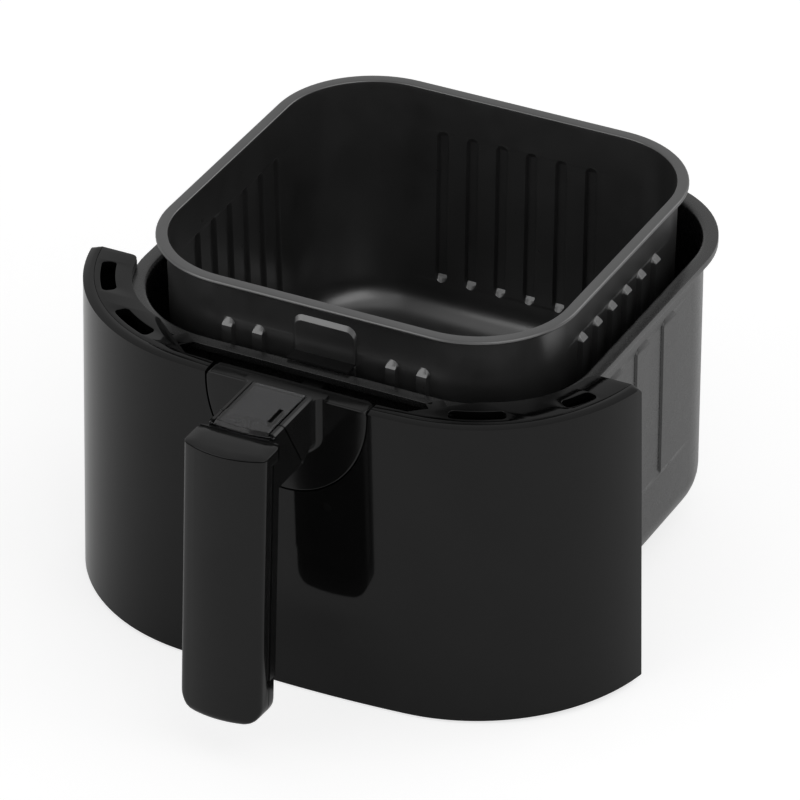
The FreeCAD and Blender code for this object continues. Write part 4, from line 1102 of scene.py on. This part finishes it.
class DRAWER_OT_grip(Operator):
    """Grip with a bowed front, a recessed trim and a rear shell"""
    bl_idname = "drawer.grip"
    bl_label = "Grip"

    reach = 59.5
    front = FACE_Y - reach
    lean = 3.28
    side = 14.5
    front_bulge = 5.4
    rear_bulge = 3.0
    corner = 10.0
    foot_round = 4.0
    top_round = 0.4
    brow = 5.5
    brow_fall = 0.5
    front_layer = 6.0
    groove_rise = 22.0
    cap_deep = 6.3
    far = 300.0
    seam_edge = 0.45
    line_wide = 0.45
    line_deep = 0.7
    line_drop = 0.9
    foot_line = 1.6
    foot_over = 0.5
    clear = 1.0

    def outline(self, half, squeeze):
        """Section of the grip: bowed front and rear, joined by short flat sides."""
        s = sizes("handle")
        r = s.grip_round
        rear = self.front + self.side
        points = []
        for y, bulge, sign in ((self.front, self.front_bulge, -1), (rear, self.rear_bulge, 1)):
            big = (s.grip_half ** 2 + bulge ** 2) / (2 * bulge)
            centre = y + sign * (bulge - big)
            turn = math.degrees(math.asin((half - r) / (big - r)))
            corner_y = centre + sign * math.sqrt((big - r) ** 2 - (half - r) ** 2)
            main = 270 if sign < 0 else 90
            shift = -sign * squeeze
            near = sign * (half - r)
            points += [(x, v + shift) for x, v in arc(near, corner_y, r, main - 90, main - turn, 4)]
            points += [(x, v + shift) for x, v in arc(0.0, centre, big, main - turn, main + turn, 20)[1:-1]]
            points += [(x, v + shift) for x, v in arc(-near, corner_y, r, main + turn, main + 90, 4)]
        return points

    def top_at(self, y):
        """Height of the grip's top before it is leaned, so that it ends level."""
        return ARM_TOP + (y - self.front) * math.tan(math.radians(self.lean))

    def body(self):
        s = sizes("handle")
        low = ARM_TOP - s.grip_long
        rings = []
        for angle in between(0.0, 90.0, 8):
            rise = self.corner * (1 - math.cos(math.radians(angle)))
            half = s.grip_half - self.corner * (1 - math.sin(math.radians(angle)))
            foot = max(0.0, self.foot_round - rise)
            squeeze = self.foot_round - math.sqrt(self.foot_round ** 2 - foot ** 2)
            rings.append([(x, y, low + rise) for x, y in self.outline(half, squeeze)])
        whole = self.outline(s.grip_half, 0.0)
        for u, v in arc(self.top_round, -self.top_round - self.brow_fall, self.top_round, 180, 100, 4):
            rings.append([(p.x, p.y, self.top_at(p.y) + v) for p in inset(whole, u)])
        brow = self.outline(s.grip_half - self.brow, self.brow)
        rings.append([(x, y, self.top_at(y)) for x, y in brow])
        return skin(rings, caps=True)

    def cap_line(self):
        """Ring that cuts a fine line below the cap."""
        whole = self.outline(sizes("handle").grip_half, 0.0)
        deep = self.line_deep
        high = -self.line_drop
        low = high - self.line_wide
        rings = []
        for u, v in ((-self.clear, low), (deep, low), (deep, high), (-self.clear, high)):
            rings.append([(p.x, p.y, self.top_at(p.y) + v) for p in inset(whole, u)])
        return skin(rings + rings[:1])

    def foot_seam(self):
        """Thin slab with its middle left out, for the line between the shells round the foot."""
        s = sizes("handle")
        low = ARM_TOP - s.grip_long
        near = self.front + self.front_layer + self.foot_line
        half = s.grip_half - self.line_deep
        r = self.corner - self.line_deep
        base = low + self.line_deep
        core = arc(r - half, base + r, r, 180, 270, 8) + arc(half - r, base + r, r, 270, 360, 8)
        core += [(half, low + self.far), (-half, low + self.far)]
        ends = (near - self.clear, near + self.clear)
        inner = skin([[(x, y, z) for x, z in core] for y in ends], caps=True)
        slab = block((-self.far, near, low - self.clear),
                     (self.far, near + self.line_wide, low + self.groove_rise + self.foot_over))
        return combine(slab, inner, "DIFFERENCE")

    def leaned(self, form):
        """Turned about the arm's top edge."""
        angle = math.radians(-self.lean)
        for vert in form.verts:
            y = vert.co.y - self.front
            z = vert.co.z - ARM_TOP
            vert.co.y = self.front + y * math.cos(angle) - z * math.sin(angle)
            vert.co.z = ARM_TOP + y * math.sin(angle) + z * math.cos(angle)
        return form

    def execute(self, context):
        low = ARM_TOP - sizes("handle").grip_long
        behind = block((-self.far, self.front + self.front_layer, low + self.groove_rise),
                       (self.far, self.far, ARM_TOP - self.cap_deep))
        cap = block((-self.far, self.front + self.side, ARM_TOP - 2 * self.cap_deep),
                    (self.far, self.far, self.far))
        form = combine(combine(self.body(), behind, "DIFFERENCE"), cap, "DIFFERENCE")
        form = softened(self.leaned(form), self.seam_edge, segments=2, angle=40.0)
        for line in (self.cap_line(), self.foot_seam()):
            form = combine(form, self.leaned(line), "DIFFERENCE")
        piece(form, "grip_front", "handle_black", "drawer", "grip_front_shell")
        dress("handle_black", "grip_rear_shell")
        dress("trim_grey", "grip_trim", "grip_core")
        return {"FINISHED"}


class DRAWER_OT_release(Operator):
    """Smoked slide cover, release button and latch"""
    bl_idname = "drawer.release"
    bl_label = "Cover, button and latch"

    button_edge = 0.5
    edge = 0.2
    pane_half = 14.2
    pane_back = 0.3
    # Steps of the pane's edge: back from the front, in from the sides and down from the top
    pane_steps = ((0.0, 0.0, 1.7), (0.05, 0.05, 1.5), (1.25, 0.5, 0.12), (1.5, 0.8, 0.0))
    flange_half = 15.4
    flange_back = 0.5
    flange_plate = 1.0
    lip_half = 17.0
    lip_deep = 2.6
    lip_drop = 1.6
    bow = 1.8
    slit_x = 9.5
    slit_half = 1.1
    slit_in = 11.1
    slit_front = round(COVER_LOW.y + slit_in, 3)
    slit_long = 12.5
    slit_deep = 2.0
    slit_wall = 0.25
    slit_sunk = 0.05
    clear = 1.0

    def bowed(self, half, start, back):
        """Outline whose front edge bulges forwards, counterclockwise."""
        front_arc = []
        for share in between(-1.0, 1.0, 16):
            x = half * share
            front_arc.append((x, COVER_LOW.y + start + self.bow * (x / self.lip_half) ** 2))
        return front_arc + [(half, back), (-half, back)]

    def cover(self):
        low = COVER_LOW.z
        high = COVER_HIGH.z
        rings = []
        for run, side, drop in ((0.0, 0.0, high - low),) + self.pane_steps:
            outline = self.bowed(self.pane_half - side, self.pane_back + run, COVER_HIGH.y - side)
            rings.append([(x, y, high - drop) for x, y in outline])
        pane = skin(rings, caps=True)
        flange_outline = self.bowed(self.flange_half, self.flange_back, COVER_HIGH.y)
        flange = plate(flange_outline, [], low, low + self.flange_plate, self.edge)
        lip_outline = self.bowed(self.lip_half, 0.0, COVER_LOW.y + self.bow + self.lip_deep)
        lip = plate(lip_outline, [], low, high - self.lip_drop, self.edge)
        whole = combine(combine(pane, flange, "UNION"), lip, "UNION")
        return combine(whole, self.slit(0.0, high + self.clear), "DIFFERENCE")

    def slit(self, inside, high):
        """Block as long and wide as the slit, or smaller by a wall."""
        half = self.slit_half - inside
        front = self.slit_front + inside
        back = self.slit_front + self.slit_long - inside
        low = COVER_HIGH.z - self.slit_deep + inside
        return block((self.slit_x - half, front, low), (self.slit_x + half, back, high))

    def execute(self, context):
        piece(self.cover(), "cover_pane", "cover_smoked", "cover", "slide_cover", crisp=20.0)
        # A black tray lines the slit: a dark sheet put there as painted shade of a deep slot, so that the
        # smoked pane shows no glints in it
        slit_shade_liner = combine(self.slit(-self.slit_sunk, COVER_HIGH.z),
                       self.slit(self.slit_wall, COVER_HIGH.z + self.clear), "DIFFERENCE")
        piece(slit_shade_liner, "cover_slit_painted_shade", "bracket_black", "cover")
        piece(softened(copy_of("release_button"), self.button_edge), "button_key", "button_black", "button",
              "release_button")
        dress("bracket_black", "latch_slider", "button_springs", "latch_pin")
        return {"FINISHED"}


class DRAWER_OT_screws(Operator):
    """Screws of the fascia, bracket, handle and grip"""
    bl_idname = "drawer.screws"
    bl_label = "Screws"

    def execute(self, context):
        dress("screw_steel", "fascia_screws", "bracket_screws", "handle_screws", "grip_screws")
        return {"FINISHED"}


class DRAWER_OT_stage(Operator):
    """Pale floor, soft studio light and camera"""
    bl_idname = "drawer.stage"
    bl_label = "Stage"

    azimuth = 26.82
    elevation = 31.67
    lens = 303.8
    sensor = 36.0
    distance = 3.2615
    side_step = -0.0116
    up_step = -0.0678
    aim = Vector((0.0, 0.0, 0.16))
    floor_half = 6.0
    floor_glow = 0.70
    mirror_glow = 0.09
    floor_rough = 0.9
    seen_grey = 0.48
    unseen_grey = 0.9
    seen_share = 0.9
    mottle = 0.04
    mottle_scale = 2.0
    dome = 0.45
    shine = 0.56
    # Name, place, size and power of each lamp
    lamps = (("front", (-0.99, -1.5, 0.84), 1.4, 6.5), ("back", (1.05, 1.55, 1.1), 1.0, 4.5),
             ("side", (1.6, -0.8, 1.4), 2.2, 12.0))

    def camera(self):
        a = math.radians(self.azimuth)
        e = math.radians(self.elevation)
        back = Vector((math.sin(a) * math.cos(e), -math.cos(a) * math.cos(e), math.sin(e)))
        right = Vector((math.cos(a), math.sin(a), 0))
        camera = bpy.data.objects.new("camera", bpy.data.cameras.new("camera"))
        bpy.context.scene.collection.objects.link(camera)
        step = right * self.side_step + back.cross(right) * self.up_step
        camera.location = self.aim + back * self.distance + step
        camera.rotation_mode = "QUATERNION"
        camera.rotation_quaternion = (-back).to_track_quat("-Z", "Y")
        camera.data.lens = self.lens
        camera.data.sensor_width = self.sensor
        bpy.context.scene.camera = camera

    def floor(self):
        form = bmesh.new()
        h = self.floor_half
        form.faces.new([form.verts.new(p) for p in ((-h, -h, 0), (h, -h, 0), (h, h, 0), (-h, h, 0))])
        floor = loose_object(form, "floor")
        finish = Finish("floor")
        path = finish.node("ShaderNodeLightPath", output="Is Camera Ray")
        share = finish.noise(scale=self.mottle_scale) * self.mottle + path * self.seen_share
        cloud = finish.blend(share, (self.unseen_grey,) * 3, (self.seen_grey,) * 3)
        glow = finish.blend(path, (self.mirror_glow,) * 3, (self.floor_glow,) * 3)
        floor.data.materials.append(finish.surface({
            "Base Color": cloud, "Roughness": self.floor_rough, "Specular IOR Level": 0.0,
            "Emission Color": glow, "Emission Strength": 1.0}))

    def world(self):
        world = bpy.data.worlds.new("studio")
        bpy.context.scene.world = world
        world.use_nodes = True
        light = Nodes(world.node_tree)
        camera = light.node("ShaderNodeLightPath", output="Is Camera Ray")
        glossy = light.node("ShaderNodeLightPath", output="Is Glossy Ray")
        clear = light.node("ShaderNodeLightPath", output="Is Transmission Ray")
        white = camera + clear
        seen = light.node("ShaderNodeClamp", sockets={"Value": white + glossy * (1.0 - white)})
        level = self.shine + light.node("ShaderNodeClamp", sockets={"Value": white}) * (1.0 - self.shine)
        strength = self.dome + seen * (level - self.dome)
        shader = light.node("ShaderNodeBackground", sockets={"Color": (1, 1, 1, 1), "Strength": strength})
        light.node("ShaderNodeOutputWorld", sockets={"Surface": shader})

    def lamp(self, name, place, size, power):
        lamp = bpy.data.objects.new(name, bpy.data.lights.new(name, "AREA"))
        bpy.context.scene.collection.objects.link(lamp)
        lamp.data.size = size
        lamp.data.energy = power
        lamp.location = place
        lamp.rotation_mode = "QUATERNION"
        lamp.rotation_quaternion = (self.aim - Vector(place)).to_track_quat("-Z", "Y")

    def execute(self, context):
        bpy.context.scene.view_settings.view_transform = "Standard"
        self.camera()
        self.floor()
        self.world()
        for lamp in self.lamps:
            self.lamp(*lamp)
        return {"FINISHED"}


OPERATORS = (DRAWER_OT_pan, DRAWER_OT_basket, DRAWER_OT_basket_lugs, DRAWER_OT_fascia, DRAWER_OT_decks,
             DRAWER_OT_handle, DRAWER_OT_grip, DRAWER_OT_release, DRAWER_OT_screws, DRAWER_OT_stage)


class DRAWER_PT_panel(Panel):
    """Lists the drawer's pieces"""
    bl_label = "Air fryer drawer"
    bl_idname = "DRAWER_PT_panel"
    bl_space_type = "VIEW_3D"
    bl_region_type = "UI"
    bl_category = "Drawer"

    def draw(self, context):
        for operator in OPERATORS:
            self.layout.operator(operator.bl_idname)


CLASSES = (PanSettings, BasketSettings, FasciaSettings, HandleSettings, DrawerSettings, *OPERATORS,
           DRAWER_PT_panel)


def register():
    for cls in CLASSES:
        bpy.utils.register_class(cls)
    bpy.types.Scene.drawer = PointerProperty(type=DrawerSettings)


def unregister():
    del bpy.types.Scene.drawer
    for cls in reversed(CLASSES):
        bpy.utils.unregister_class(cls)


def main():
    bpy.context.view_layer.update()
    register()
    for operator in OPERATORS:
        getattr(bpy.ops.drawer, operator.bl_idname.split(".")[1])()
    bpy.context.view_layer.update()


if __name__ == "__main__":
    main()
